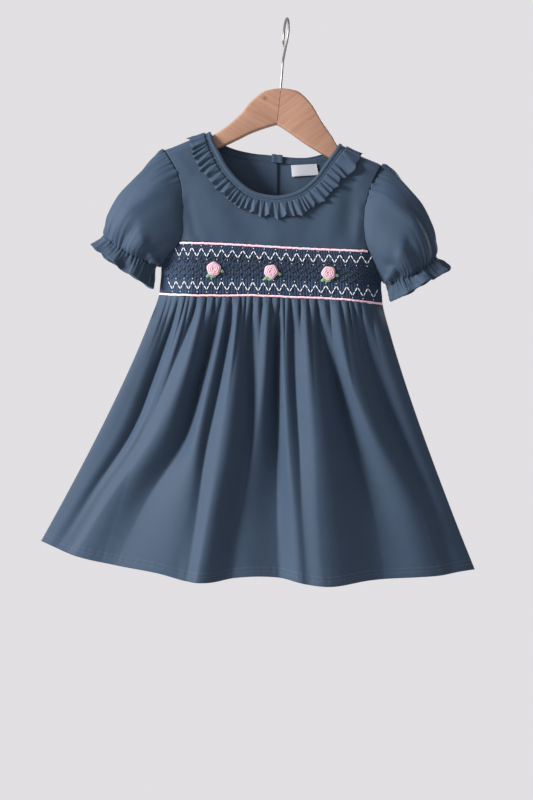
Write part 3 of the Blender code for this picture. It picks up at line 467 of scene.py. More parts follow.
def edge_down(tab, side, face, q0, q1, t):
    """Same edge by distance along the cloth from q0 to q1."""
    q = q0 + (q1 - q0) * np.asarray(t, dtype=float)
    z = tab["z"][-1] - drop_of(q)
    for _ in range(10):
        x = edge(tab, side, face, z)[..., 0]
        z = shoulder_z(x) - drop_of(q)
    return points(x, q)


def patch(top, bottom, left, right, u, v):
    """Surface between four edges."""
    u = u[..., None]
    v = v[..., None]
    c00 = top(np.zeros(1))[0]
    c10 = top(np.ones(1))[0]
    c01 = bottom(np.zeros(1))[0]
    c11 = bottom(np.ones(1))[0]
    flat = (1 - u) * (1 - v) * c00 + u * (1 - v) * c10 + (1 - u) * v * c01 + u * v * c11
    ruled = (1 - v) * top(u[..., 0]) + v * bottom(u[..., 0])
    ruled = ruled + (1 - u) * left(v[..., 0]) + u * right(v[..., 0])
    return ruled - flat


YOKE_LEFT_END = (YOKE_SEAM["x"][0], YOKE_SEAM["z"][0])
YOKE_RIGHT_END = (YOKE_SEAM["x"][-1], YOKE_SEAM["z"][-1])
NECK_START = 0.2
NECK_END = 0.8


def with_shoulders(neck, tips, first, last):
    """Top edge made of a left shoulder, a neck edge and a right shoulder."""

    def top(u):
        u = np.asarray(u, dtype=float)
        t = np.clip((u - first) / (last - first), 0.0, 1.0)
        n = neck(t)
        start = neck(np.zeros(1))[0]
        end = neck(np.ones(1))[0]
        x_left = tips[0] + (start[0] - tips[0]) * u / first if first > 0 else n[..., 0]
        x_right = end[0] + (tips[1] - end[0]) * (u - last) / (1 - last) if last < 1 else n[..., 0]
        x = np.where(u < first, x_left, np.where(u > last, x_right, n[..., 0]))
        q = np.where((u < first) | (u > last), 0.0, n[..., 1])
        return points(x, q)

    return top


def below_neck(u):
    """Share along the yoke's lower edge, which keeps its lines outside the neck opening."""
    return np.interp(u, [0.0, NECK_START, NECK_END, 1.0], [0.0, 0.107, 0.905, 1.0])


def yoke(u, v):
    top = with_shoulders(
        lambda t: outside_neck(NECK_FRONT, t, NECK_ROOM),
        (ARMHOLE_LEFT["x_front"][-1], ARMHOLE_RIGHT["x_front"][-1]),
        NECK_START,
        NECK_END,
    )
    q_left = seam_q(YOKE_SEAM, YOKE_LEFT_END[0], PIPING_ROOM)
    q_right = seam_q(YOKE_SEAM, YOKE_RIGHT_END[0], PIPING_ROOM)
    xq = patch(
        top,
        lambda t: line(YOKE_SEAM, YOKE_LEFT_END[0], YOKE_RIGHT_END[0], below_neck(t), PIPING_ROOM),
        lambda t: edge_down(ARMHOLE_LEFT, SIDE_LEFT, "front", 0.0, q_left, t),
        lambda t: edge_down(ARMHOLE_RIGHT, SIDE_RIGHT, "front", 0.0, q_right, t),
        u,
        v,
    )
    return body("front", xq[..., 0], np.maximum(xq[..., 1], 0.0))


def band(u, v):
    z0_left = YOKE_LEFT_END[1] - PIPING_ROOM
    z0_right = YOKE_RIGHT_END[1] - PIPING_ROOM
    z1_left = WAIST["z"][0] + PIPING_ROOM
    z1_right = WAIST["z"][-1] + PIPING_ROOM
    x0_left = float(armhole_x(ARMHOLE_LEFT, "front", z0_left))
    x0_right = float(armhole_x(ARMHOLE_RIGHT, "front", z0_right))
    xq = patch(
        lambda t: line(YOKE_SEAM, x0_left, x0_right, t, -PIPING_ROOM),
        lambda t: line(WAIST, WAIST["x"][0], WAIST["x"][-1], t, PIPING_ROOM),
        lambda t: edge(ARMHOLE_LEFT, SIDE_LEFT, "front", z0_left + (z1_left - z0_left) * t),
        lambda t: edge(ARMHOLE_RIGHT, SIDE_RIGHT, "front", z0_right + (z1_right - z0_right) * t),
        u,
        v,
    )
    return body("front", xq[..., 0], xq[..., 1])


def lap(x):
    """How far the over-lap half of the back stands out over the under-lap half."""
    return LAP_LIFT * ease((14.0 - x) / 20.0) * ease((x + 56.0) / 16.0)


def back_share(x):
    """Share of the way along the back neck seam, from the left shoulder, for a given x."""
    k = np.arange(len(NECK_BACK["x_seam"])) / (len(NECK_BACK["x_seam"]) - 1)
    return np.interp(x, NECK_BACK["x_seam"], k)


def neck_part(tab, x_from, x_to):
    """Part of the back neck seam between two x positions."""
    t0 = back_share(x_from)
    t1 = back_share(x_to)
    return lambda t: outside_neck(tab, t0 + (t1 - t0) * t, NECK_ROOM)


def back_left(u, v):
    top = with_shoulders(
        neck_part(NECK_BACK, NECK_BACK["x_seam"][0], PLACKET_EDGE),
        (ARMHOLE_LEFT["x_back"][-1], PLACKET_EDGE),
        0.33,
        1.0,
    )
    q1 = seam_q(WAIST, WAIST["x"][0], SEAM_GAP / 2)
    top_q = float(top(np.ones(1))[0][1])
    low_q = seam_q(WAIST, PLACKET_EDGE, SEAM_GAP / 2)
    xq = patch(
        top,
        lambda t: line(WAIST, WAIST["x"][0], PLACKET_EDGE, t, SEAM_GAP / 2),
        lambda t: edge_down(ARMHOLE_LEFT, SIDE_LEFT, "back", 0.0, q1, t),
        lambda t: points(PLACKET_EDGE + 0 * t, top_q + (low_q - top_q) * t),
        u,
        v,
    )
    return body("back", xq[..., 0], np.maximum(xq[..., 1], 0.0))


def back_right_xq(u, v):
    top = with_shoulders(
        neck_part(NECK_BACK, PLACKET_UNDER, NECK_BACK["x_seam"][-1]),
        (PLACKET_UNDER, ARMHOLE_RIGHT["x_back"][-1]),
        0.0,
        0.72,
    )
    q1 = seam_q(WAIST, WAIST["x"][-1], SEAM_GAP / 2)
    top_q = float(top(np.zeros(1))[0][1])
    low_q = seam_q(WAIST, PLACKET_UNDER, SEAM_GAP / 2)
    return patch(
        top,
        lambda t: line(WAIST, PLACKET_UNDER, WAIST["x"][-1], t, SEAM_GAP / 2),
        lambda t: points(PLACKET_UNDER + 0 * t, top_q + (low_q - top_q) * t),
        lambda t: edge_down(ARMHOLE_RIGHT, SIDE_RIGHT, "back", 0.0, q1, t),
        u,
        v,
    )


def back_right(u, v):
    xq = back_right_xq(u, v)
    return body("back", xq[..., 0], np.maximum(xq[..., 1], 0.0), lap(xq[..., 0]))


def clamp(x):
    return np.clip(x, 0.0, 1.0)


def round_neck(u):
    """Shares along the front and the back neck seam at u, and where u is in front."""
    gap = float(back_share(PLACKET_EDGE))
    turn = np.asarray(u, dtype=float) * 3.0
    t_back = np.where(turn < 1.0, (1 - clamp(turn)) * gap, 1 - (1 - gap) * clamp(turn - 2.0))
    return clamp(turn - 1.0), t_back, (turn >= 1.0) & (turn <= 2.0)


def binding(u, w):
    """Strip round the neck. u starts and ends at the placket, w runs from seam to opening."""
    t_front, t_back, is_front = round_neck(u)

    def spot(kind):
        f = outline(NECK_FRONT, kind, t_front)
        b = outline(NECK_BACK, kind, t_back)
        pf = body("front", f[..., 0], f[..., 1], 0.0, 0.0)
        pb = body("back", b[..., 0], b[..., 1], 0.0, 0.0)
        return np.where(is_front[..., None], pf, pb)

    w = np.asarray(w)[..., None]
    return spot("seam") * (1 - w) + spot("open") * w


def sleeve(tab, hole, side, a, r):
    """Sleeve surface. a goes round from the top over the front, r counts the sections."""
    a, r = np.broadcast_arrays(np.asarray(a, dtype=float), np.asarray(r, dtype=float))
    rows = np.arange(SLEEVE_ROWS + 1, dtype=float)
    get = {name: through(rows, tab[name], r) for name in tab}
    theta = 2 * math.pi * a
    cos = np.cos(theta)
    sin = np.sin(theta)
    is_front = sin >= 0
    cx = (get["x_top"] + get["x_under"]) / 2
    cz = (get["z_top"] + get["z_under"]) / 2
    hx = (get["x_top"] - get["x_under"]) / 2
    hz = (get["z_top"] - get["z_under"]) / 2
    chord = np.hypot(hx, hz)
    out = -1.0 if side == "left" else 1.0
    nx = out * hz / chord
    nz = -out * hx / chord
    x = cx + hx * cos + nx * get["bow"] * sin**2
    z = cz + hz * cos + nz * get["bow"] * sin**2
    y = -np.where(is_front, get["front"], get["back"]) * sin

    top_z = hole["z"][-1]
    under_z = hole["z"][0]
    z0 = top_z + (under_z - top_z) * (1 - cos) / 2
    side_tab = SIDE_LEFT if side == "left" else SIDE_RIGHT
    exact = []
    for face in ("front", "back"):
        e = edge(hole, side_tab, face, np.maximum(z0, under_z + 1e-6))
        p = body(face, e[..., 0], e[..., 1], 0.0, 0.0)
        p[..., 1] = p[..., 1] * np.sqrt(np.abs(sin))
        h = 0.8
        above = armhole_x(hole, face, np.minimum(z0 + h, top_z))
        below = armhole_x(hole, face, np.maximum(z0 - h, under_z))
        slope = (above - below) / (np.minimum(z0 + h, top_z) - np.maximum(z0 - h, under_z))
        length = np.hypot(1.0, slope)
        p[..., 0] = p[..., 0] + out * SLEEVE_START / length
        p[..., 2] = p[..., 2] - out * SLEEVE_START * slope / length
        exact.append(p)
    start = np.where(is_front[..., None], exact[0], exact[1])
    base0 = {name: tab[name][0] for name in tab}
    bx = (base0["x_top"] + base0["x_under"]) / 2 + (base0["x_top"] - base0["x_under"]) / 2 * cos
    bz = (base0["z_top"] + base0["z_under"]) / 2 + (base0["z_top"] - base0["z_under"]) / 2 * cos
    by = -np.where(is_front, base0["front"], base0["back"]) * sin
    keep = 1 - ease(r / 3.0)
    x = x + (start[..., 0] - bx) * keep
    y = y + (start[..., 1] - by) * keep
    z = z + (start[..., 2] - bz) * keep

    frill = np.clip((r - 6.0) / 2.0, 0.0, 1.0)
    wave = np.cos(2 * math.pi * (FRILL_WAVES * a + 0.15)) * frill * 2.6
    x = x + wave * out * 0.75 * np.abs(cos)
    y = y - wave * sin
    z = z + wave * 0.3
    return points(x, y, z)


# Materials
WHITE = (1.0, 1.0, 1.0)
KNIT_DEPTH = 0.00007
FUZZ_DEPTH = 0.00008
TWIST_DEPTH = 0.00012


def new_material(name):
    """Material with its tree and its shader."""
    mat = bpy.data.materials.new(name)
    mat.use_nodes = True
    return mat, mat.node_tree, mat.node_tree.nodes["Principled BSDF"]


def own_place(tree):
    """Place on the piece, in the piece's own coordinates."""
    return tree.nodes.new("ShaderNodeTexCoord").outputs["Object"]


def cloth_axes(tree):
    """Distances across and down the flat cloth, in metres."""
    uv = tree.nodes.new("ShaderNodeUVMap")
    uv.uv_map = "cloth"
    split = tree.nodes.new("ShaderNodeSeparateXYZ")
    tree.links.new(uv.outputs["UV"], split.inputs["Vector"])
    return split.outputs["X"], split.outputs["Y"]


def roughen(tree, shader, factor, low, high):
    """Roughness that varies between two values."""
    rough = tree.nodes.new("ShaderNodeMapRange")
    rough.inputs["To Min"].default_value = low
    rough.inputs["To Max"].default_value = high
    tree.links.new(factor, rough.inputs["Value"])
    tree.links.new(rough.outputs["Result"], shader.inputs["Roughness"])


def noise(tree, vector, scale, detail=3.0, stretch=(1.0, 1.0, 1.0)):
    mapping = tree.nodes.new("ShaderNodeMapping")
    mapping.inputs["Scale"].default_value = stretch
    tree.links.new(vector, mapping.inputs["Vector"])
    node = tree.nodes.new("ShaderNodeTexNoise")
    node.inputs["Scale"].default_value = scale
    node.inputs["Detail"].default_value = detail
    tree.links.new(mapping.outputs["Vector"], node.inputs["Vector"])
    return node.outputs["Fac"]


def blend_colour(tree, factor, low, high, colour_a, colour_b):
    ramp = tree.nodes.new("ShaderNodeValToRGB")
    ramp.color_ramp.elements[0].position = low
    ramp.color_ramp.elements[1].position = high
    ramp.color_ramp.elements[0].color = (*colour_a, 1.0)
    ramp.color_ramp.elements[1].color = (*colour_b, 1.0)
    tree.links.new(factor, ramp.inputs["Fac"])
    return ramp.outputs["Color"]


def multiply_colour(tree, a, b, factor=1.0):
    mix = tree.nodes.new("ShaderNodeMix")
    mix.data_type = "RGBA"
    mix.blend_type = "MULTIPLY"
    mix.inputs["Factor"].default_value = factor
    tree.links.new(a, mix.inputs[6])
    tree.links.new(b, mix.inputs[7])
    return mix.outputs[2]


def add_bump(tree, shader, height, distance, strength=1.0, normal=None):
    bump = tree.nodes.new("ShaderNodeBump")
    bump.inputs["Strength"].default_value = strength
    bump.inputs["Distance"].default_value = distance
    tree.links.new(height, bump.inputs["Height"])
    if normal is not None:
        tree.links.new(normal, bump.inputs["Normal"])
    if shader is not None:
        tree.links.new(bump.outputs["Normal"], shader.inputs["Normal"])
    return bump.outputs["Normal"]


def maths(tree, operation, a, b=None):
    node = tree.nodes.new("ShaderNodeMath")
    node.operation = operation
    for i, value in enumerate((a, b)):
        if value is None:
            continue
        if isinstance(value, (int, float)):
            node.inputs[i].default_value = value
        else:
            tree.links.new(value, node.inputs[i])
    return node.outputs[0]


def shade(colour, factor):
    return tuple(c * factor for c in colour)


def jersey(name, colour, sheen=0.25, roughness=0.68, wale=0.9, course=0.75, mottle=0.05):
    """Knitted cotton: columns of small V loops in the cloth's own coordinates, with soft mottling."""
    mat, tree, shader = new_material(name)
    across, down = cloth_axes(tree)
    column = maths(tree, "MULTIPLY", across, 2 * math.pi / (wale * MM))
    legs = maths(tree, "ABSOLUTE", maths(tree, "SINE", maths(tree, "MULTIPLY", column, 0.5)))
    row = maths(tree, "MULTIPLY", down, 2 * math.pi / (course * MM))
    slanted = maths(tree, "ADD", row, maths(tree, "MULTIPLY", legs, 2.2))
    loops = maths(tree, "ADD", maths(tree, "MULTIPLY", maths(tree, "SINE", slanted), 0.35), legs)
    place = own_place(tree)
    soft = noise(tree, place, 38.0, 3.0)
    fine = noise(tree, place, 700.0, 2.0)
    broad = noise(tree, place, 9.0, 2.0)
    base = blend_colour(tree, soft, 0.3, 0.7, shade(colour, 1 - mottle), shade(colour, 1 + mottle))
    speck = blend_colour(tree, fine, 0.25, 0.75, (0.92, 0.92, 0.93), WHITE)
    wash = blend_colour(tree, broad, 0.3, 0.7, (0.94, 0.95, 0.97), WHITE)
    tinted = multiply_colour(tree, multiply_colour(tree, base, speck), wash)
    tree.links.new(tinted, shader.inputs["Base Color"])
    roughen(tree, shader, soft, roughness - 0.05, roughness + 0.06)
    first = add_bump(tree, None, loops, KNIT_DEPTH, 0.6)
    add_bump(tree, shader, fine, FUZZ_DEPTH, 0.35, first)
    shader.inputs["Specular IOR Level"].default_value = 0.14
    shader.inputs["Sheen Weight"].default_value = sheen
    shader.inputs["Sheen Roughness"].default_value = 0.42
    shader.inputs["Sheen Tint"].default_value = (0.62, 0.74, 0.9, 1.0)
    return mat


def thread(name, colour, roughness=0.5, sheen=0.1, tone=None):
    """Twisted embroidery or sewing thread. A tone colour, where given, is painted shade laid on through the
    mesh's tone attribute.
    """
    mat, tree, shader = new_material(name)
    place = own_place(tree)
    soft = noise(tree, place, 220.0, 2.0)
    twist = noise(tree, place, 1500.0, 2.0, (1.0, 1.0, 0.4))
    base = blend_colour(tree, soft, 0.3, 0.7, shade(colour, 0.93), colour)
    # Painted shade: the tone colour darkens the thread where the tone attribute is low, in the grooves
    # between strands.
    if tone is not None:
        attribute = tree.nodes.new("ShaderNodeAttribute")
        attribute.attribute_name = "tone"
        shadow = blend_colour(tree, attribute.outputs["Fac"], 0.0, 1.0, tone, WHITE)
        base = multiply_colour(tree, base, shadow)
    tree.links.new(base, shader.inputs["Base Color"])
    shader.inputs["Roughness"].default_value = roughness
    shader.inputs["Sheen Weight"].default_value = sheen
    add_bump(tree, shader, twist, TWIST_DEPTH, 0.6)
    return mat


def grid_normals(p, wrap=False):
    across = np.roll(p, -1, axis=1) - np.roll(p, 1, axis=1) if wrap else np.gradient(p, axis=1)
    return unit(np.cross(across, np.gradient(p, axis=0)))


def outward(p, n, middle):
    """Normals turned so that they point away from a middle."""
    sign = np.sign(np.sum(n * (p - middle)))
    return n * (sign if sign != 0 else 1.0)


def front_normals(p, face="front"):
    n = grid_normals(p)
    return -n if face == "front" else n


def mesh_from_grid(name, p, uv, wrap=False, tone=None):
    rows, cols = p.shape[:2]
    span = cols if wrap else cols - 1
    j, i = np.meshgrid(np.arange(rows - 1), np.arange(span), indexing="ij")
    a = j * cols + i
    b = j * cols + (i + 1) % cols
    quads = points(a, b, b + cols, a + cols).reshape(-1, 4)
    mesh = bpy.data.meshes.new(name)
    mesh.vertices.add(rows * cols)
    mesh.vertices.foreach_set("co", (p.reshape(-1, 3) * MM).ravel())
    mesh.loops.add(quads.size)
    mesh.loops.foreach_set("vertex_index", quads.ravel())
    mesh.polygons.add(len(quads))
    mesh.polygons.foreach_set("loop_start", np.arange(len(quads)) * 4)
    mesh.update(calc_edges=True)
    layer = mesh.uv_layers.new(name="cloth")
    if wrap:
        step = uv[0, 1, 0] - uv[0, 0, 0]
        corner = points(i, i + 1, i + 1, i).reshape(-1)
        row_of = points(j, j, j + 1, j + 1).reshape(-1)
        flat = points(uv[0, 0, 0] + corner * step, uv[row_of, 0, 1])
    else:
        flat = uv.reshape(-1, 2)[quads.ravel()]
    layer.data.foreach_set("uv", flat.ravel())
    # The tone attribute carries painted shade to materials that read it.
    if tone is not None:
        attribute = mesh.attributes.new("tone", "FLOAT", "POINT")
        attribute.data.foreach_set("value", np.asarray(tone, dtype=float).ravel())
    mesh.shade_smooth()
    mesh.validate()
    return mesh


def place_object(name, mesh, mat):
    mesh.materials.append(mat)
    obj = bpy.data.objects.new(name, mesh)
    bpy.context.scene.collection.objects.link(obj)
    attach(obj, "root")
    return obj


def cloth(name, node, p, uv, mat, thick=1.0, wrap=False):
    """Thin shell of cloth that stands for a CAD node."""
    obj = place_object(name, mesh_from_grid(name, p, uv, wrap), mat)
    shell = obj.modifiers.new("thickness", "SOLIDIFY")
    shell.thickness = thick * MM
    shell.offset = 0.0
    if node:
        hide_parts(node)
    return obj


def flat_uv(us, vs, width, length):
    u, v = np.meshgrid(us, vs)
    return points(u * width * MM, v * length * MM)


def mesh_from_faces(name, verts, faces):
    """Smooth mesh of points in millimetres."""
    mesh = bpy.data.meshes.new(name)
    mesh.from_pydata([tuple(v) for v in np.asarray(verts).reshape(-1, 3) * MM], [], faces)
    mesh.shade_smooth()
    return mesh


def tube_faces(base, rings, sides):
    """Quads between rings of points that start at base, and a face at each end."""
    faces = []
    for i in range(rings - 1):
        for k in range(sides):
            a = base + i * sides + k
            b = base + i * sides + (k + 1) % sides
            faces.append((a, b, b + sides, a + sides))
    faces.append(tuple(base + k for k in range(sides))[::-1])
    faces.append(tuple(base + (rings - 1) * sides + k for k in range(sides)))
    return faces


def tube_mesh(name, path, radius, sides, mat):
    """Round cord along a path in millimetres. radius is a number or one per point."""
    path = np.asarray(path, dtype=float)
    count = len(path)
    radius = np.broadcast_to(np.asarray(radius, dtype=float), (count,))
    tangents = unit(np.gradient(path, axis=0))
    side = unit(np.cross(tangents[0], np.array([1.0, 0.3, 0.2])))
    rings = []
    for i in range(count):
        side = unit(side - tangents[i] * np.dot(side, tangents[i]))
        other = np.cross(tangents[i], side)
        angle = 2 * math.pi * np.arange(sides) / sides
        rings.append(path[i] + radius[i] * (np.outer(np.cos(angle), side) + np.outer(np.sin(angle), other)))
    return place_object(name, mesh_from_faces(name, rings, tube_faces(0, count, sides)), mat)


def dashes(name, starts, ends, radius, mat, sides=5):
    """Short stitches of thread from each start to each end, rounded at both."""
    starts = np.asarray(starts, dtype=float)
    ends = np.asarray(ends, dtype=float)
    radius = np.broadcast_to(np.asarray(radius, dtype=float), (len(starts),))
    along = unit(ends - starts)
    side = unit(np.cross(along, np.array([0.13, 0.91, 0.21])))
    other = np.cross(along, side)
    length = np.linalg.norm(ends - starts, axis=1)
    shares = ((0.0, 0.35), (0.16, 0.95), (0.5, 1.1), (0.84, 0.95), (1.0, 0.35))
    verts = []
    for share, size in shares:
        centre = starts + along * (length * share)[:, None]
        for k in range(sides):
            angle = 2 * math.pi * k / sides
            ring = side * math.cos(angle) + other * math.sin(angle)
            verts.append(centre + ring * (radius * size)[:, None])
    verts = np.array(verts).transpose(1, 0, 2)
    faces = []
    for s in range(len(starts)):
        faces += tube_faces(s * len(shares) * sides, len(shares), sides)
    return place_object(name, mesh_from_faces(name, verts, faces), mat)


def along_path(path, pitch, fill=0.62):
    """Starts and ends of even stitches along a path."""
    path = np.asarray(path, dtype=float)
    run = np.concatenate([[0], np.cumsum(np.linalg.norm(np.diff(path, axis=0), axis=1))])
    count = max(int(run[-1] / pitch), 1)
    at = np.arange(count) * run[-1] / count
    return [points(*(np.interp(s, run, path[:, k]) for k in range(3))) for s in (at, at + pitch * fill)]


def stitch_rows(name, paths, pitch, fill, radius):
    """Rows of even stitches in the cloth's own thread."""
    rows = [along_path(path, pitch, fill) for path in paths]
    starts, ends = (np.concatenate([row[k] for row in rows]) for k in range(2))
    return dashes(name, starts, ends, radius, navy_thread, 4)


def joined(*stretches):
    """Steps along several stretches, each with its first and last value and its count."""
    parts = [np.linspace(*stretch) for stretch in stretches]
    return np.concatenate([part[:-1] for part in parts[:-1]] + parts[-1:])


def uneven(count, spread, seed):
    """Edges from 0 to 1 of pleats of uneven width."""
    rng = np.random.default_rng(seed)
    widths = 1 + spread * rng.uniform(-1, 1, count)
    edges = np.concatenate([[0.0], np.cumsum(widths)])
    return edges / edges[-1]


def pleat(t, edges, low, seed, sharp):
    """Rounded ridges with sharp valleys between uneven edges, from 0 to 1, and which pleat it is."""
    i = np.clip(np.searchsorted(edges, t, side="right") - 1, 0, len(edges) - 2)
    share = np.clip((t - edges[i]) / (edges[i + 1] - edges[i]), 0.0, 1.0)
    rng = np.random.default_rng(seed)
    size = rng.uniform(low, 1.0, len(edges) - 1)
    return size[i] * np.sin(math.pi * share) ** sharp, i, share


def creases(rows, a, b):
    """Sum of soft troughs and ridges, each a line from (a0, b0) to (a1, b1) with a width and a height."""
    total = np.zeros(np.broadcast(a, b).shape)
    for a0, b0, a1, b1, width, height in rows:
        da, db = a1 - a0, b1 - b0
        length = math.hypot(da, db)
        s = ((a - a0) * da + (b - b0) * db) / length**2
        d = ((a - a0) * db - (b - b0) * da) / length
        fade = ease((s + 0.15) / 0.35) * ease((1.15 - s) / 0.35)
        total = total + height * bell(d, width) * fade
    return total


def wander(x, seed, terms=5, low=0.6, high=3.0):
    """Smooth uneven wave of about unit height along x."""
    rng = np.random.default_rng(seed)
    total = np.zeros(np.shape(x))
    for _ in range(terms):
        wave = np.sin(x * rng.uniform(low, high) + rng.uniform(0, 2 * math.pi))
        total = total + wave * rng.uniform(0.4, 1.0)
    return total / math.sqrt(terms)


NAVY = (0.0205, 0.0352, 0.0590)
SMOCK = (0.0125, 0.0250, 0.0500)
navy = jersey("navy_jersey_knit", NAVY, sheen=0.06)
navy_fine = jersey("navy_jersey_fine", shade(NAVY, 1.06), sheen=0.08)
smocked = jersey("smocked_jersey_knit", SMOCK, sheen=0.05, roughness=0.75)
navy_thread = thread("navy_thread", shade(NAVY, 1.25), 0.5)
dark_thread = thread("dark_navy_thread", shade(NAVY, 0.35), 0.8, 0.0)
white_thread = thread("white_thread", (0.44, 0.44, 0.46), 0.6, 0.1)
# The rose thread's tone colour (0.66, 0.5, 0.56) is painted shade for the grooves of its coiled strands.
rose_thread = thread("rose_thread", (0.41, 0.255, 0.305), 0.6, 0.2, tone=(0.66, 0.5, 0.56))
leaf_thread = thread("leaf_thread", (0.065, 0.16, 0.065), 0.6, 0.2)

# Skirt. Lines of valleys and ridges in turn, by their place across at five heights and how
# far they stand out there. Heights are millimetres, places run from 0 to 1 across the panel.
LINE_STATIONS = np.array([0.10, 0.30, 0.50, 0.75, 0.95])
LINES_FRONT = (
    ((0.000, 0.000, 0.000, 0.000, 0.000), (0.0, 0.0, 0.0, 0.0, 0.0)),
    ((0.037, 0.042, 0.045, 0.030, 0.020), (0.0, -1.0, -1.0, 0.5, 1.0)),
    ((0.088, 0.088, 0.088, 0.055, 0.040), (-4.0, -6.5, -6.5, -4.5, -1.5)),
    ((0.132, 0.120, 0.112, 0.075, 0.055), (1.5, 1.5, 0.5, -1.0, 0.0)),
    ((0.165, 0.142, 0.126, 0.084, 0.063), (-1.0, 0.8, 0.7, 0.0, 0.6)),
    ((0.203, 0.190, 0.166, 0.105, 0.085), (3.5, 5.0, 5.0, 5.0, 4.5)),
    ((0.272, 0.262, 0.252, 0.195, 0.175), (-4.0, -7.5, -7.5, -6.0, -3.0)),
    ((0.298, 0.289, 0.290, 0.303, 0.308), (2.5, 3.5, 4.5, 5.0, 3.5)),
    ((0.332, 0.326, 0.320, 0.330, 0.335), (-1.5, -1.0, 0.5, 3.5, 4.5)),
    ((0.361, 0.370, 0.371, 0.364, 0.362), (3.0, 7.0, 9.0, 12.0, 13.0)),
    ((0.422, 0.440, 0.452, 0.442, 0.440), (-3.5, -4.5, -5.0, -5.0, -4.0)),
    ((0.486, 0.483, 0.474, 0.462, 0.460), (2.5, 2.0, -1.5, -4.5, -3.6)),
    ((0.530, 0.532, 0.539, 0.540, 0.545), (-5.0, -9.0, -10.5, -10.5, -9.0)),
    ((0.563, 0.563, 0.572, 0.590, 0.598), (2.0, 2.0, 2.5, 4.5, 6.0)),
    ((0.592, 0.598, 0.605, 0.606, 0.610), (-2.0, -1.5, 0.0, 3.6, 5.4)),
    ((0.650, 0.654, 0.657, 0.650, 0.648), (3.0, 7.0, 8.5, 10.0, 10.5)),
    ((0.718, 0.757, 0.776, 0.795, 0.790), (-4.0, -6.5, -8.0, -9.0, -8.5)),
    ((0.795, 0.808, 0.850, 0.915, 0.920), (3.5, 5.5, 6.5, 6.5, 5.0)),
    ((0.883, 0.903, 0.930, 0.955, 0.950), (-3.5, -4.5, -4.5, -2.5, 0.0)),
    ((0.962, 0.968, 0.975, 0.982, 0.980), (2.5, 2.5, 2.5, 1.5, 1.0)),
    ((1.000, 1.000, 1.000, 1.000, 1.000), (0.0, 0.0, 0.0, 0.0, 0.0)),
)
LINES_BACK = (
    ((0.000, 0.000, 0.000, 0.000, 0.000), (0.0, 0.0, 0.0, 0.0, 0.0)),
    ((0.075, 0.085, 0.075, 0.065, 0.060), (2.5, 3.5, 4.0, 4.0, 3.0)),
    ((0.150, 0.152, 0.150, 0.148, 0.145), (-3.0, -4.5, -5.5, -6.0, -5.0)),
    ((0.188, 0.196, 0.205, 0.210, 0.212), (1.5, 1.5, 2.0, 3.0, 4.0)),
    ((0.210, 0.214, 0.218, 0.220, 0.222), (-1.0, 0.0, 1.5, 2.6, 3.8)),
    ((0.262, 0.255, 0.250, 0.245, 0.240), (3.0, 5.5, 7.5, 9.0, 9.5)),
    ((0.318, 0.322, 0.330, 0.336, 0.340), (-3.0, -5.0, -7.0, -9.0, -8.0)),
    ((0.392, 0.398, 0.404, 0.410, 0.412), (3.0, 5.0, 7.0, 9.5, 10.0)),
    ((0.436, 0.438, 0.440, 0.442, 0.444), (-1.0, -0.5, 0.5, 2.0, 3.0)),
    ((0.452, 0.454, 0.456, 0.458, 0.460), (0.5, 0.3, 0.6, 2.0, 3.0)),
    ((0.482, 0.486, 0.492, 0.496, 0.500), (-5.0, -8.0, -9.5, -10.0, -9.0)),
    ((0.560, 0.568, 0.574, 0.580, 0.582), (3.0, 6.0, 8.0, 10.0, 10.5)),
    ((0.652, 0.656, 0.660, 0.664, 0.666), (-3.0, -5.0, -7.0, -8.0, -7.0)),
    ((0.700, 0.712, 0.722, 0.735, 0.742), (2.0, 3.5, 5.0, 6.5, 7.0)),
    ((0.732, 0.738, 0.744, 0.752, 0.758), (-1.0, 0.8, 2.6, 5.0, 6.2)),
    ((0.770, 0.772, 0.774, 0.778, 0.782), (2.5, 4.5, 6.0, 7.5, 8.0)),
    ((0.822, 0.828, 0.834, 0.842, 0.845), (-3.0, -4.5, -5.5, -6.0, -5.0)),
    ((0.900, 0.908, 0.916, 0.924, 0.928), (2.5, 3.5, 4.0, 4.0, 3.0)),
    ((1.000, 1.000, 1.000, 1.000, 1.000), (0.0, 0.0, 0.0, 0.0, 0.0)),
)
# Gathers just below the waist: each ridge's place across and how far down it runs in millimetres
GATHERS_FRONT = (
    (0.033, 40.0), (0.052, 22.0), (0.077, 45.0), (0.112, 60.0), (0.132, 70.0), (0.152, 24.0),
    (0.197, 75.0), (0.242, 32.0), (0.267, 22.0), (0.302, 70.0), (0.357, 75.0), (0.382, 28.0),
    (0.402, 36.0), (0.442, 50.0), (0.487, 60.0), (0.527, 34.0), (0.552, 66.0), (0.572, 30.0),
    (0.612, 30.0), (0.652, 60.0), (0.687, 36.0), (0.732, 70.0), (0.792, 60.0), (0.832, 32.0),
    (0.852, 50.0), (0.882, 28.0), (0.912, 44.0), (0.970, 34.0),
)


WAIST_WIDTH = 245.0


def fold_lines(lines, u, v):
    """Folds with round ridges and sharper valleys, row by row. u and v are grids."""
    places = np.array([line_row[0] for line_row in lines])
    heights = np.array([line_row[1] for line_row in lines])
    total = np.zeros(u.shape)
    for j in range(u.shape[0]):
        at = np.clip(v[j, 0], 0.0, 1.0)
        pos = np.array([float(through(LINE_STATIONS, row, at)) for row in places])
        size = np.array([float(through(LINE_STATIONS, row, max(at, 0.06))) for row in heights])
        pos[0], pos[-1] = 0.0, 1.0
        i = np.clip(np.searchsorted(pos, u[j], side="right") - 1, 0, len(pos) - 2)
        t = np.clip((u[j] - pos[i]) / np.maximum(pos[i + 1] - pos[i], 1e-6), 0, 1)
        rising = i % 2 == 0
        t = np.where(rising, t, 1 - t)
        low = np.where(rising, size[i], size[i + 1])
        high = np.where(rising, size[i + 1], size[i])
        crisp = np.sin(t * math.pi / 2)
        round_both = (1 - np.cos(math.pi * t)) / 2
        share = 0.75 - 0.55 * ease((at - 0.45) / 0.5)
        total[j] = low + (high - low) * (crisp * share + round_both * (1 - share))
    return total * ease(v / 0.13) ** 0.8 * (1.6 - 0.5 * ease((v - 0.4) / 0.5))


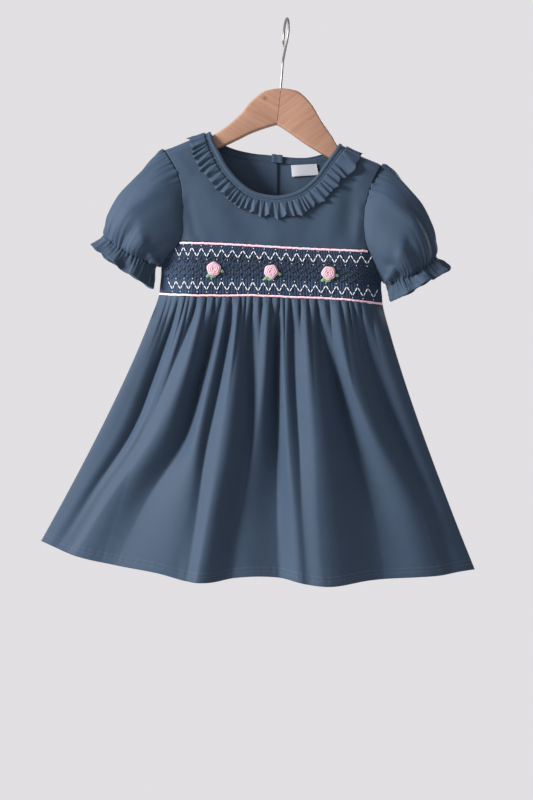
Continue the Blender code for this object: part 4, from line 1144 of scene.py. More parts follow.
def gather_field(ridges, u, down, seed):
    """Gathers that start at the waist seam. down is the distance below it."""
    centre = np.array([r[0] for r in ridges])
    reach = np.array([r[1] for r in ridges])
    valley = np.concatenate([[0.0], (centre[1:] + centre[:-1] * 1.4) / 2.4, [1.0]])
    i = np.clip(np.searchsorted(valley, u, side="right") - 1, 0, len(centre) - 1)
    left = np.clip((u - valley[i]) / (centre[i] - valley[i]), 0, 1)
    right = np.clip((valley[i + 1] - u) / (valley[i + 1] - centre[i]), 0, 1)
    rise = np.where(u < centre[i], left, right)
    span = (valley[i + 1] - valley[i]) * WAIST_WIDTH
    fade = bell(down, reach[i], 1.6)
    size = np.minimum(0.60 * span, 4.6) * (0.55 + 0.45 * ease(down / 10.0))
    coarse = size * fade * np.sin(rise * math.pi / 2) ** 0.9
    edges = uneven(66, spread=0.45, seed=seed)
    fine, k, _ = pleat(u, edges, low=0.5, seed=seed + 1, sharp=0.9)
    rng = np.random.default_rng(seed + 2)
    fine_reach = rng.uniform(5.0, 16.0, len(edges))[k]
    return coarse + 0.85 * fine * bell(down, fine_reach, 1.5)


# Heights of the two rows of stitches above the hem's edge, and how far forward the side edges stand
HEM_STITCHES = (10.3, 6.2)
LEFT_FORWARD = 16.0
RIGHT_FORWARD = 10.0
# Swell below the waist, and the least room between the skirt and the middle plane
WAIST_SWELL = 2.2
LEAST_DEPTH = 3.0


def waist_x(u):
    return WAIST["x"][0] + (WAIST["x"][-1] - WAIST["x"][0]) * u


def back_gathers():
    """Gathers below the back waist, as guessed ones."""
    rng = np.random.default_rng(31)
    edges = uneven(27, spread=0.4, seed=30)
    return tuple((float(a + b) / 2, float(rng.uniform(22, 70))) for a, b in zip(edges[:-1], edges[1:]))


def skirt_grid(face, us, vs):
    """Skirt panel from the waist seam at v = 0 to the hem's edge at v = 1."""
    u, v = np.meshgrid(us, vs)
    shift = -PIPING_ROOM if face == "front" else -SEAM_GAP / 2
    x_waist = waist_x(u)
    z_waist = through(WAIST["x"], WAIST["z"], x_waist) + shift
    top = body(face, x_waist, reach_of(x_waist, z_waist))
    x_hem = HEM_LEFT_X + (HEM_RIGHT_X - HEM_LEFT_X) * u
    z_hem = through(HEM["u"], HEM["z"], u)
    x = x_waist + (x_hem - x_waist) * v**SKIRT_SPREAD
    z = z_waist + (z_hem - z_waist) * v
    t = np.abs(2 * u - 1)
    hem_depth = HEM_DEPTH_FRONT if face == "front" else HEM_DEPTH_BACK
    sign = -1.0 if face == "front" else 1.0
    parting = SHOULDER_PARTING + SIDE_PARTING
    waist_depth = sign * top[..., 1] - parting
    blend = v**1.1
    depth = waist_depth * (1 - blend) + hem_depth * (1 - t**3) * blend
    down = z_waist - z
    depth = depth + WAIST_SWELL * bell(v - 0.06, 0.05) * (1 - t**4) * ease(v / 0.02)
    lines = LINES_FRONT if face == "front" else LINES_BACK
    side = 1 - t**10
    depth = depth + fold_lines(lines, u, v) * side
    ridges = GATHERS_FRONT if face == "front" else back_gathers()
    depth = depth + gather_field(ridges, u, down, 7 if face == "front" else 17) * side
    seed = 3 if face == "front" else 13
    drift = wander(u * 9.0 + v * 2.0, seed) * 0.35 + wander(u * 30.0 + 1.5 * v, seed + 1) * 0.14
    depth = depth + drift * side * ease(v / 0.2)
    length = z_waist - z_hem
    above = length * (1 - v)
    fold_edge = 0.35 * ease((HEM_STITCHES[0] + 1.2 - above) / 1.4)
    channel = 0.0
    for line_height in HEM_STITCHES:
        channel = channel + bell(above - line_height, 0.9)
    pucker = wander(u * 260.0, seed + 2, 6, 0.7, 2.2) * bell(above - 8.0, 5.0)
    depth = depth + (fold_edge - 0.32 * channel + 0.16 * pucker) * side
    floor = LEAST_DEPTH * (1 - t**6)
    over = depth - floor
    soft = 2.0 * (1 - t**6)
    depth = floor + 0.5 * (over + np.sqrt(over**2 + soft**2))
    rise = ease(v / 0.12)
    ramp = np.clip(1 - np.stack([u / (0.095 + 0.045 * v), (1 - u) / 0.085]), 0, 1) ** 1.25
    left_edge = LEFT_FORWARD * ramp[0] * rise
    right_edge = RIGHT_FORWARD * ramp[1] * rise * (1 - 0.5 * ease((v - 0.6) / 0.35))
    forward = left_edge + right_edge
    return points(x, sign * (parting * (1 - t**40) + depth) - forward, z)


def hem_line(p, us, vs, above, lift, face):
    """Path across a skirt grid at a height above the hem's edge, lifted off the cloth."""
    n = front_normals(p, face)
    path = []
    for i, u in enumerate(us):
        x_waist = waist_x(u)
        length = float(through(WAIST["x"], WAIST["z"], x_waist) - through(HEM["u"], HEM["z"], u))
        at = np.interp(1 - above / length, vs, np.arange(len(vs)))
        j = int(min(at, len(vs) - 2))
        f = at - j
        path.append(p[j, i] * (1 - f) + p[j + 1, i] * f + n[j, i] * lift)
    return np.array(path)


skirt_vs = joined((0, 0.10, 30), (0.10, 0.94, 66), (0.94, 1.0, 18))
for face, columns in (("front", 290), ("back", 230)):
    us = np.linspace(0, 1, columns)
    p = skirt_grid(face, us, skirt_vs)
    uv = flat_uv(us, skirt_vs, 480, 300)
    cloth(f"skirt_{face}", f"{face}_skirt", p, uv, navy, thick=1.1)
    hem_paths = [hem_line(p, us, skirt_vs, above, 0.55, face) for above in HEM_STITCHES]
    stitch_rows(f"hem_stitches_{face}", hem_paths, pitch=3.1, fill=0.66, radius=0.26)

# Front yoke, with the soft pulls and hollows of hanging jersey. Each row is a line from
# (x0, z0) to (x1, z1) in millimetres, its width and its height.
YOKE_CREASES = (
    (-96.0, -182.0, -60.0, -236.0, 12.0, 0.9),
    (-108.0, -196.0, -100.0, -240.0, 5.0, -0.7),
    (-62.0, -205.0, -30.0, -244.0, 11.0, -0.8),
    (-20.0, -214.0, -8.0, -246.0, 9.0, 0.6),
    (30.0, -208.0, 18.0, -246.0, 10.0, -0.7),
    (56.0, -196.0, 44.0, -246.0, 9.0, 0.9),
    (72.0, -176.0, 66.0, -240.0, 8.0, -1.2),
    (80.0, -205.0, 76.0, -250.0, 4.5, 0.6),
    (-122.0, -150.0, -104.0, -170.0, 5.0, 0.5),
    (90.0, -166.0, 76.0, -184.0, 5.0, 0.5),
)
BACK_CREASES = (
    (-118.0, -165.0, -90.0, -215.0, 9.0, 0.8),
    (-126.0, -215.0, -105.0, -290.0, 7.0, -0.8),
    (-80.0, -190.0, -70.0, -290.0, 10.0, -0.7),
    (-48.0, -175.0, -50.0, -260.0, 8.0, 0.6),
    (20.0, -180.0, 26.0, -285.0, 9.0, -0.8),
    (52.0, -175.0, 44.0, -262.0, 8.0, 0.7),
    (78.0, -190.0, 88.0, -300.0, 7.0, -0.9),
    (70.0, -175.0, 62.0, -215.0, 6.0, 0.6),
)


def fine_columns(first, last, side, middle):
    parts = [np.linspace(0.0008, first, side)[:-1]] if first > 0 else []
    parts.append(np.linspace(first, last, middle))
    if last < 1:
        parts.append(np.linspace(last, 0.9992, side)[1:])
    return np.concatenate(parts)


yoke_us = fine_columns(NECK_START, NECK_END, 34, 130)
yoke_vs = np.concatenate([[0.0018, 0.01, 0.02, 0.03], np.linspace(0.04, 1.0, 90)])
u, v = np.meshgrid(yoke_us, yoke_vs)
p = yoke(u, v)
n = front_normals(p)
lift = creases(YOKE_CREASES, p[..., 0], p[..., 2])
lift = lift + 0.35 * wander(p[..., 0] / 26 + p[..., 2] / 60, 5) * ease(v / 0.2) * ease((1 - v) / 0.15)
arm_pucker = wander(p[..., 2] / 4.2, 6, 5, 0.8, 1.8) * 0.28
near_arm = np.exp(-((u * 26) ** 1.4)) + np.exp(-(((1 - u) * 26) ** 1.4))
seam_pucker = wander(p[..., 0] / 3.4, 8, 5, 0.8, 1.8) * 0.22 * np.exp(-(((1 - v) * 14) ** 1.3))
lift = lift + arm_pucker * near_arm + seam_pucker
lift = lift * np.clip(ease(v / 0.05), 0.15, 1.0)
yoke_uv = flat_uv(yoke_us, yoke_vs, 240, 110)
cloth("yoke_front", "front_yoke", p + n * lift[..., None], yoke_uv, navy, thick=1.0)

# Smocked band: fine upright pleats that the rows of stitches pinch together two by two
SMOCK_PLEATS = 78
SMOCK_ROWS = (0.10, 0.28, 0.40, 0.52, 0.64, 0.76, 0.92)
# Lattice of small stitches: its first row and the step to the next, and its cells across
LATTICE_START = 0.30
LATTICE_STEP = 0.063
LATTICE_CELLS = 27.5
ZIGZAG_LIFT = 1.15


def smock(u, v):
    phase = u * SMOCK_PLEATS
    sway = 0.0
    for i, row in enumerate(SMOCK_ROWS):
        pinch = bell(v - row, 0.035)
        sway = sway + pinch * 0.16 * np.sin(math.pi * (phase + (i % 2)))
    bent = phase + sway + 0.05 * wander(v * 7 + u * 60, 21)
    ridge_height = np.abs(np.sin(math.pi * bent)) ** 0.75
    squeeze = 0.0
    for row in SMOCK_ROWS:
        squeeze = squeeze + bell(v - row, 0.022)
    return ridge_height * (0.95 - 0.3 * squeeze) - 0.35 * squeeze


band_us = np.linspace(0.0008, 0.9992, 580)
band_vs = np.linspace(0.0, 1.0, 38)
u, v = np.meshgrid(band_us, band_vs)
band_grid = band(u, v)
band_normals = front_normals(band_grid)
ends = ease(v / 0.05) * ease((1 - v) / 0.05)
rows = (v - LATTICE_START) / LATTICE_STEP
cells = u * LATTICE_CELLS - 0.25 + 0.5 * (np.round(rows) % 2)
pocket = np.abs(np.cos(math.pi * cells)) ** 5 * np.cos(math.pi * (rows - np.round(rows))) ** 2
pocket = (1 - pocket) * ease((v - 0.25) / 0.04) * ease((0.74 - v) / 0.04)
lift = smock(u, v) * (0.35 + 0.65 * ends) - 0.25 + 0.3 * wander(u * 22 + 3 * v, 23) * ends
lift = lift * (1 - 0.35 * pocket) - 0.55 * pocket
p = band_grid + band_normals * lift[..., None]
band_uv = flat_uv(band_us, band_vs, 480, 55)
cloth("smocked_front_band", "smocked_band", p, band_uv, smocked, thick=0.7)


def on_band(x, z, lift):
    """Point on the band's fine surface by its place in the front view, with a lift off the pleats."""
    flat = (band_grid[..., 0] - x) ** 2 + (band_grid[..., 2] - z) ** 2
    j, i = np.unravel_index(np.argmin(flat), flat.shape)
    near = band_grid[j, i]
    base = near + np.array([x - near[0], 0.0, z - near[2]])
    return base + band_normals[j, i] * lift


# Places on the band as seen from in front: millimetres for each unit, and the view's slight narrowing
FRONT_SCALE = 1.1
FRONT_NARROW = 0.991
FRONT_LEVEL = 418.0


def front_x(px):
    return (px - 286.5) * FRONT_SCALE * FRONT_NARROW - 0.2


def front_z(py):
    return ((20 - py) * FRONT_SCALE + FRONT_LEVEL) * FRONT_NARROW - FRONT_LEVEL


def zigzag(peaks, top, foot, lean):
    """White zigzag row: two dashes for each leg and a small knot at each point."""
    starts, finishes, size = [], [], []
    for k in range(len(peaks) - 1):
        a, b = peaks[k], peaks[k + 1]
        m = a + (b - a) * lean
        corners = ((a, top(a)), (m, foot(m)), (b, top(b)))
        for (x0, z0), (x1, z1) in zip(corners[:-1], corners[1:]):
            for s0, s1 in ((0.07, 0.47), (0.54, 0.93)):
                starts.append(on_band(x0 + (x1 - x0) * s0, z0 + (z1 - z0) * s0, ZIGZAG_LIFT))
                finishes.append(on_band(x0 + (x1 - x0) * s1, z0 + (z1 - z0) * s1, ZIGZAG_LIFT))
                size.append(0.52)
        for x, z, shift in ((a, top(a), 2.4), (m, foot(m), -2.4)):
            starts.append(on_band(x - 0.15, z + shift + 0.5, 1.1))
            finishes.append(on_band(x + 0.15, z + shift - 0.5, 1.1))
            size.append(0.48)
    return np.array(starts), np.array(finishes), np.array(size)


TOP_PEAKS = (174.9, 183.6, 192.0, 201.4, 211.4, 221.6, 232.4, 242.9, 253.6, 264.3, 275.5, 286.2)
LOW_PEAKS = (168.5, 176.4, 184.6, 192.8, 201.4, 211.4, 221.6, 232.0, 242.4, 252.8, 263.2)
top_peaks = [front_x(a) for a in TOP_PEAKS + tuple(296.7 + 10.75 * k for k in range(8))]
low_peaks = [front_x(a) for a in LOW_PEAKS + tuple(273.6 + 10.45 * k for k in range(11))]


def row_height(xs, ys):
    return lambda x: float(np.interp(x, [front_x(a) for a in xs], [front_z(b) for b in ys]))


upper_top = row_height((183.0, 232.0, 297.0, 362.0), (246.6, 249.8, 252.8, 255.4))
upper_foot = row_height((188.0, 238.0, 301.0, 362.0), (256.4, 258.4, 262.4, 263.6))
lower_top = row_height((164.0, 263.0, 294.0, 378.0), (280.4, 282.2, 283.8, 288.4))
lower_foot = row_height((164.0, 234.0, 298.0, 378.0), (288.8, 291.0, 292.2, 297.6))
for name, peaks, top, foot in (
    ("zigzag_upper", top_peaks, upper_top, upper_foot),
    ("zigzag_lower", low_peaks, lower_top, lower_foot),
):
    a, b, size = zigzag(peaks, top, foot, 0.54)
    dashes(name, a, b, size, white_thread, 6)

# Small dark stitches in staggered rows between the white ones
starts, finishes = [], []
for k in range(7):
    level = LATTICE_START + LATTICE_STEP * k
    for m in range(27):
        middle = (m + (0.5 if k % 2 else 0.0) + 0.25) / LATTICE_CELLS
        if not 0.02 < middle < 0.98:
            continue
        i = int(np.argmin(np.abs(band_us - middle)))
        j = int(np.argmin(np.abs(band_vs - level)))
        spot = band_grid[j, i]
        for side in (-1, 1):
            starts.append(on_band(spot[0] + side * 2.9, spot[2] + 1.5, 0.85))
            finishes.append(on_band(spot[0] + side * 0.35, spot[2] - 1.5, 0.85))
dashes("smocking_stitches", starts, finishes, 0.42, dark_thread, 4)


# Embroidered roses and leaves, each rose with its place and its turn
ROSE_RADIUS = 7.7
ROSE_HEIGHT = 2.5
ROSES = ((213.8, 269.1, 0.3), (271.2, 271.8, 1.1), (328.6, 273.4, 0.7))


def rose(name, px, py, turn, seed):
    centre = on_band(front_x(px), front_z(py), 0.9)
    rings, around = 34, 84
    angles = np.arange(around) * 2 * math.pi / around
    share, angle = np.meshgrid(np.linspace(0.0, 1.0, rings), angles, indexing="ij")
    rng = np.random.default_rng(seed)
    outline_wave = 1 + 0.045 * np.cos(5 * (angle - turn)) + 0.02 * np.cos(3 * angle + rng.uniform(0, 6))
    radius = ROSE_RADIUS * share * outline_wave
    coil = share * 3.6 - (angle + turn) / (2 * math.pi)
    strand = np.abs(np.sin(math.pi * coil))
    petals = 0.5 + 0.5 * np.cos(5 * (angle - turn) + 6.0 * share)
    height = ROSE_HEIGHT * np.sqrt(np.clip(1 - share**2.6, 0, 1)) + 0.95 * strand**0.8 * (0.35 + 0.65 * share)
    height = height + 0.35 * petals * share * (1 - share) * 3 - 0.5 * bell(share, 0.12)
    height = height * ease((1 - share) / 0.07 + 0.15)
    x = centre[0] + radius * np.cos(angle)
    z = centre[2] + radius * np.sin(angle)
    verts = points(x, centre[1] - height, z)
    # Painted shade: tone falls in the grooves between the coiled strands and towards the middle, and is held
    # at 0.85 round the rim, so the rose thread is darker there.
    tone = np.clip(strand**0.6 * 0.75 + 0.3 * share, 0, 1)
    tone = np.where(share > 0.93, 0.85, tone)
    uv = points(share * 0.01, angle * 0.002)
    place_object(name, mesh_from_grid(name, verts, uv, True, tone), rose_thread)


def leaf(verts, faces, centre, length, width, turn):
    base = len(verts)
    steps_along, steps_across = 9, 5
    for i in range(steps_along):
        s = i / (steps_along - 1)
        half = width * math.sin(math.pi * min(s * 0.96 + 0.02, 1.0)) ** 0.8 / 2
        for j in range(steps_across):
            t = j / (steps_across - 1) * 2 - 1
            a = (s - 0.5) * length
            b = half * t
            rise = 0.9 * (1 - t * t) * math.sin(math.pi * s) ** 0.5 - 0.3 * math.exp(-((t / 0.25) ** 2))
            x = centre[0] + a * math.cos(turn) - b * math.sin(turn)
            z = centre[2] + a * math.sin(turn) + b * math.cos(turn)
            verts.append((x, centre[1] - rise, z))
    for i in range(steps_along - 1):
        for j in range(steps_across - 1):
            a = base + i * steps_across + j
            faces.append((a, a + 1, a + 1 + steps_across, a + steps_across))


for number, (px, py, turn) in enumerate(ROSES, start=1):
    rose(f"rose_{number}", px, py, turn, 40 + number)
    verts, faces = [], []
    for dx, dy, long, wide, angle in (
        (-4.6, 6.4, 7.2, 3.6, 2.6),
        (-0.6, 7.6, 6.4, 2.9, 3.1),
        (8.2, 2.2, 4.6, 3.0, 0.5),
    ):
        leaf(verts, faces, on_band(front_x(px + dx), front_z(py + dy), 1.0), long, wide, -angle)
    leaf_mesh = mesh_from_faces(f"leaves_{number}", verts, faces)
    leaves = place_object(f"leaves_{number}", leaf_mesh, leaf_thread)
    shell = leaves.modifiers.new("thickness", "SOLIDIFY")
    shell.thickness = 0.5 * MM

# Piping: cord in a bias strip, a little uneven from the gathers that press on it
PINK = (0.60, 0.395, 0.45)
pink = jersey("pink_piping_bias", PINK, sheen=0.2, roughness=0.5, wale=0.6, course=0.6, mottle=0.03)
for name, node, tab, seed in (
    ("piping_cord_upper", "piping_upper", YOKE_SEAM, 51),
    ("piping_cord_waist", "piping_waist", WAIST, 52),
):
    t = np.linspace(0.004, 0.996, 300)
    along = line(tab, tab["x"][0], tab["x"][-1], t)
    path = body("front", along[:, 0], along[:, 1], 0.75)
    path[:, 2] += 0.22 * wander(t * 70, seed)
    path[:, 1] += 0.12 * wander(t * 90, seed + 5)
    cord = tube_mesh(name, path, 1.22 + 0.07 * wander(t * 160, seed + 9), 12, pink)
    layer = cord.data.uv_layers.new(name="cloth")
    spots = np.array([cord.data.vertices[i].co for poly in cord.data.polygons for i in poly.vertices])
    flat = points(spots[:, 0] + spots[:, 2], spots[:, 1] - spots[:, 2])
    layer.data.foreach_set("uv", flat.ravel())
    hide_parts(node)


# Neck ruffle


RUFFLE_FRONT = 40
RUFFLE_BACK = 24
FLAP = (0.800, 0.925)
SHOULDER_REACH = 22.0
RUFFLE_REST = 1.25
PLEAT_AT_SEAM = 1.3
PLEAT_GROWTH = 3.0


def ruffle_edges():
    """Uneven pleats of the ruffle along its three stretches, with one broad flap in front."""
    left = uneven(RUFFLE_BACK // 2, spread=0.5, seed=61)
    front = uneven(RUFFLE_FRONT, spread=0.62, seed=62)
    front = front[(front < FLAP[0] - 0.008) | (front > FLAP[1] + 0.008)]
    front = np.sort(np.concatenate([front, FLAP]))
    right = uneven(RUFFLE_BACK // 2 + 1, spread=0.4, seed=63)
    return np.concatenate([left, 1 + front[1:], 2 + right[1:]])


def fine_ruffle(u, w):
    turn = u * 3.0
    t_front, t_back, is_front = round_neck(u)
    edges = ruffle_edges()
    wave, which, share = pleat(turn, edges, low=0.42, seed=64, sharp=0.8)
    rng = np.random.default_rng(65)
    reach = rng.uniform(-0.24, 0.20, len(edges))[which]
    lean = rng.uniform(0.2, 1.0, len(edges))[which]
    flap = is_front & (t_front > FLAP[0]) & (t_front < FLAP[1])
    halved = np.sort(np.concatenate([edges, (edges[1:] + edges[:-1]) / 2]))
    fine, _, _ = pleat(turn, halved, low=0.6, seed=66, sharp=0.8)
    corner = np.where(flap, bell(share - 0.42, 0.25), 0.0)
    stretch = 1 + reach * np.sin(math.pi * share) ** 2 + 0.28 * corner
    w_eff = w * stretch
    q_front = outline(NECK_FRONT, "seam", t_front)[..., 1]
    q_seam = np.where(is_front, q_front, outline(NECK_BACK, "seam", t_back)[..., 1])
    over = RUFFLE_OVER_SHOULDER * (1 - ease(q_seam / SHOULDER_REACH))
    size = (PLEAT_AT_SEAM + PLEAT_GROWTH * w**0.9) * (0.42 + 0.58 * ease(q_seam / 24.0))
    soft = wave.max() * (0.5 - 0.5 * np.cos(2 * math.pi * share)) * 0.85
    wave = wave * (1 - 0.75 * w) + soft * 0.75 * w
    lift = RUFFLE_REST + over + w + size * wave * np.where(flap, 1.25, 1.0)
    lift = lift + 1.15 * (fine - 0.5) * bell(w, 0.35) + 1.1 * corner * w
    shift = np.sin(2 * math.pi * share) * lean * w * 1.5
    result = []
    for face, tab, t in (("front", NECK_FRONT, t_front), ("back", NECK_BACK, t_back)):
        here, ahead, normal = seam_directions(tab, t)
        normal[..., 1] = normal[..., 1] * ease(here[..., 1] / SHOULDER_REACH)
        normal = unit(normal)
        tangent = unit(ahead)
        x = here[..., 0] + normal[..., 0] * w_eff * RUFFLE_WIDTH + tangent[..., 0] * shift
        q = np.maximum(here[..., 1] + normal[..., 1] * w_eff * RUFFLE_WIDTH + tangent[..., 1] * shift, 0.0)
        extra = lap(x) if face == "back" else 0.0
        result.append(body(face, x, q, lift + extra, 0.0))
    return np.where(is_front[..., None], result[0], result[1])


ruffle_us = np.linspace(0.0015, 0.9985, 1100)
ruffle_ws = np.linspace(0.0, 1.0, 15)
u, w = np.meshgrid(ruffle_us, ruffle_ws)
p = fine_ruffle(u, w)
ruffle_uv = flat_uv(ruffle_us, ruffle_ws, 760, 17)
cloth("ruffle_round_neck", "neck_ruffle", p, ruffle_uv, navy_fine, thick=0.55)

# Binding: a flat part by the seam with two rows of stitches, a groove, and a rolled edge
BINDING_STITCHES = (0.12, 0.34)
ROW_LIFT = 0.85
binding_us = np.linspace(0.0012, 0.9988, 560)
binding_ws = np.concatenate([np.linspace(-0.06, 0.92, 22), [0.96, 1.0]])
u, w = np.meshgrid(binding_us, binding_ws)
p = binding(u, w)
n = grid_normals(p)
side_y = np.where(round_neck(u)[2], -1.0, 1.0)
n = n * np.where(n[..., 1] * side_y < 0, -1.0, 1.0)[..., None]
roll = 1.15 * np.sqrt(np.clip(1 - ((w - 0.76) / 0.25) ** 2, 0, 1))
flat_part = 0.45 * ease((w + 0.02) / 0.08) * ease((0.52 - w) / 0.06)
stitch_groove = -0.28 * sum(bell(w - level, 0.045) for level in BINDING_STITCHES)
tiny = 0.10 * wander(u * 700, 71, 6, 0.6, 1.6) * (1 - w)
lift = 0.25 + roll + flat_part + stitch_groove + tiny
binding_grid = p + n * lift[..., None]
binding_uv = flat_uv(binding_us, binding_ws, 400, 14)
cloth("binding_round_neck", "neck_binding", binding_grid, binding_uv, navy_fine, thick=1.5)
stitched = [int(np.argmin(np.abs(binding_ws - level))) for level in BINDING_STITCHES]
paths = [binding_grid[j] + n[j] * ROW_LIFT for j in stitched]
stitch_rows("binding_stitches", paths, pitch=2.3, fill=0.62, radius=0.22)

# Tab of binding cloth folded over the two ends of the binding, where they meet at the back
tab_us = np.linspace(0.0, 1.0, 26)
tab_ss = np.linspace(0.0, 1.0, 30)
u, s = np.meshgrid(tab_us, tab_ss)
t = back_share(-16.0) + (back_share(-4.0) - back_share(-16.0)) * u
seam, opened = outline(NECK_BACK, "seam", t), outline(NECK_BACK, "open", t)
climb = np.where(s < 0.42, s / 0.42, np.where(s > 0.58, (1 - s) / 0.42, 1.0))
w = climb[..., None] * 1.06 - 0.06
xq = seam * (1 - w) + opened * w
turn = np.clip((s - 0.42) / 0.16, 0, 1) * math.pi
bow = 0.35 * np.sin(u * math.pi) + 0.25 * np.sin(u * 9.0)
lift = -np.cos(turn) * (1.75 + bow)
p = body("back", xq[..., 0], np.maximum(xq[..., 1], 0.0), lift, 0.0)
p[..., 2] += np.sin(turn) * (1.7 + bow)
cloth("binding_tab", None, p, flat_uv(tab_us, tab_ss, 12, 20), navy_fine, thick=0.8)

# Back halves with their placket and its stitches
left_us = fine_columns(0.33, 1.0, 34, 76)
right_us = joined((0.0, 0.72, 96), (0.72, 0.9990, 32))
back_vs = np.concatenate([[0.0012, 0.008, 0.016, 0.026], np.linspace(0.036, 1.0, 96)])
for name, node, surface, us, seed in (
    ("back_half_left", "back_bodice_left", back_left, left_us, 81),
    ("back_half_right", "back_bodice_right", back_right, right_us, 82),
):
    u, v = np.meshgrid(us, back_vs)
    p = surface(u, v)
    n = front_normals(p, "back")
    x, z = p[..., 0], p[..., 2]
    lift = creases(BACK_CREASES, x, z) * ease(v / 0.1)
    lift = lift + 0.3 * wander(x / 24 + z / 55, seed) * ease(v / 0.2) * ease((1 - v) / 0.12)
    lift = lift + wander(x / 3.3, seed + 3, 5, 0.8, 1.8) * 0.2 * np.exp(-(((1 - v) * 14) ** 1.3))
    free = ease((np.abs(x - BUTTON_X) - 15.0) / 10.0)
    lift = lift * (0.12 + 0.88 * free) * np.clip(ease(v / 0.05), 0.15, 1.0)
    cloth(name, node, p + n * lift[..., None], flat_uv(us, back_vs, 130, 175), navy, thick=1.0)


def back_point(x, z, lift):
    q = reach_of(np.array([x]), np.array([z]))
    return body("back", np.array([x]), q, lap(np.array([x])) + lift)[0]


PLACKET_ROWS = ((-33.4, -303.0, -158.0), (-11.8, -303.0, -161.0))
placket_paths = [
    np.array([back_point(x, z, 0.62) for z in np.linspace(high, low, 60)]) for x, low, high in PLACKET_ROWS
]
stitch_rows("placket_stitches", placket_paths, pitch=2.8, fill=0.64, radius=0.24)

# Buttons: turned rim, hollow middle with four holes, and crossed thread; stitched buttonholes.
# The profile runs from the middle of the face over the rim to the middle of the back, each
# point with its share of the radius and its height in millimetres.
PROFILE = (
    (0.02, 1.35), (0.3, 1.32), (0.55, 1.34), (0.64, 1.55), (0.72, 2.0), (0.82, 2.2), (0.92, 2.1),
    (0.98, 1.7), (1.0, 1.2), (0.97, 0.5), (0.90, 0.05), (0.5, 0.0), (0.02, 0.0),
)
HOLE_OFFSET = 1.15
BUTTONHOLE = 17.0
plastic, tree, shader = new_material("button_plastic_gloss")
place = own_place(tree)
cloud = noise(tree, place, 260.0, 3.0)
colour = blend_colour(tree, cloud, 0.3, 0.7, (0.035, 0.055, 0.088), (0.05, 0.075, 0.115))
tree.links.new(colour, shader.inputs["Base Color"])
roughen(tree, shader, cloud, 0.26, 0.38)
starts, finishes = [], []
for number, height in enumerate(BUTTON_HEIGHTS, start=1):
    low = back_point(BUTTON_X, height, HALF + SEAM_GAP)
    axis = unit(back_point(BUTTON_X, height, HALF + SEAM_GAP + 10.0) - low)
    across = unit(np.cross(np.array([0.0, 0.0, 1.0]), axis))
    up = np.cross(axis, across)
    fine = np.linspace(0, len(PROFILE) - 1, 60)
    ring = points(*(np.interp(fine, range(len(PROFILE)), [q[k] for q in PROFILE]) for k in range(2)))
    angle = np.arange(72) * 2 * math.pi / 72
    r = ring[:, 0][:, None] * BUTTON_RADIUS
    rise = ring[:, 1][:, None] + 0 * angle[None, :]
    ax = r * np.cos(angle)[None, :]
    ay = r * np.sin(angle)[None, :]
    for hx, hy in ((1, 1), (1, -1), (-1, 1), (-1, -1)):
        away = np.hypot(ax - hx * HOLE_OFFSET, ay - hy * HOLE_OFFSET)
        rise = np.where(fine[:, None] < 20, rise - 1.0 * ease((0.75 - away) / 0.3), rise)
    verts = low + ax[..., None] * across + ay[..., None] * up + rise[..., None] * axis
    uv = points(ax * MM, ay * MM)
    name = f"button_disc_{number}"
    disc = place_object(name, mesh_from_grid(name, verts, uv, True), plastic)
    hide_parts(f"button_{number}")
    for hx in (1, -1):
        starts.append(low + across * hx * HOLE_OFFSET + up * HOLE_OFFSET + axis * 1.35)
        finishes.append(low - across * hx * HOLE_OFFSET - up * HOLE_OFFSET + axis * 1.35)
    for x in np.linspace(BUTTON_X - BUTTONHOLE / 2, BUTTON_X + BUTTONHOLE / 2, 26):
        for side in (-1, 1):
            starts.append(back_point(x, height + side * 0.35, 0.7))
            finishes.append(back_point(x, height + side * 1.7, 0.7))
dashes("button_threads", starts, finishes, 0.28, navy_thread, 4)

# Bare woven label
YARN_PITCH = 0.5
LABEL_TOP = ((5.4, -158.6), (33.6, -157.2))
LABEL_LOW = ((6.3, -171.4), (36.1, -169.4))
LABEL_BEHIND = 0.65
woven, tree, shader = new_material("label_woven_white")
yarns = 2 * math.pi / (YARN_PITCH * MM)
warp, weft = (maths(tree, "SINE", maths(tree, "MULTIPLY", axis, yarns)) for axis in cloth_axes(tree))
weave = maths(tree, "ADD", maths(tree, "MULTIPLY", warp, weft), 1.0)
half_weave = maths(tree, "MULTIPLY", weave, 0.5)
colour = blend_colour(tree, half_weave, 0.0, 1.0, (0.235, 0.24, 0.27), (0.27, 0.275, 0.31))
tree.links.new(colour, shader.inputs["Base Color"])
shader.inputs["Roughness"].default_value = 0.6
add_bump(tree, shader, weave, 0.00005, 0.5)


def label(u, v):
    """Label on the inside of the back, hanging from its upper edge."""
    top_x, top_z, low_x, low_z = (
        first[k] + (last[k] - first[k]) * u for first, last in (LABEL_TOP, LABEL_LOW) for k in range(2)
    )
    x = top_x + (low_x - top_x) * v
    z = top_z + (low_z - top_z) * v
    return body("back", x, reach_of(x, z), lap(x) - HALF - SEAM_GAP - LABEL_BEHIND)


label_us, label_vs = np.linspace(0, 1, 40), np.linspace(0, 1, 20)
u, v = np.meshgrid(label_us, label_vs)
p = label(u, v)
p[..., 1] -= 0.5 * v**2 * (1 + 0.5 * np.cos(6 * u)) + 0.25 * np.sin(u * 5.0) * v
cloth("bare_label", "neck_label", p, flat_uv(label_us, label_vs, 31, 13.5), woven, thick=0.45)
corners = ((0.03, 0.06), (0.03, 0.40), (0.97, 0.06), (0.97, 0.40))
starts, finishes = [], []
for cu, cv in corners:
    for k in range(3):
        spot = label(np.array([cu]), np.array([cv + 0.1 * k]))[0]
        starts.append(spot + np.array([-0.7, -0.55, 0.0]))
        finishes.append(spot + np.array([0.7, -0.55, 0.0]))
dashes("label_stitches", starts, finishes, 0.2, white_thread, 4)

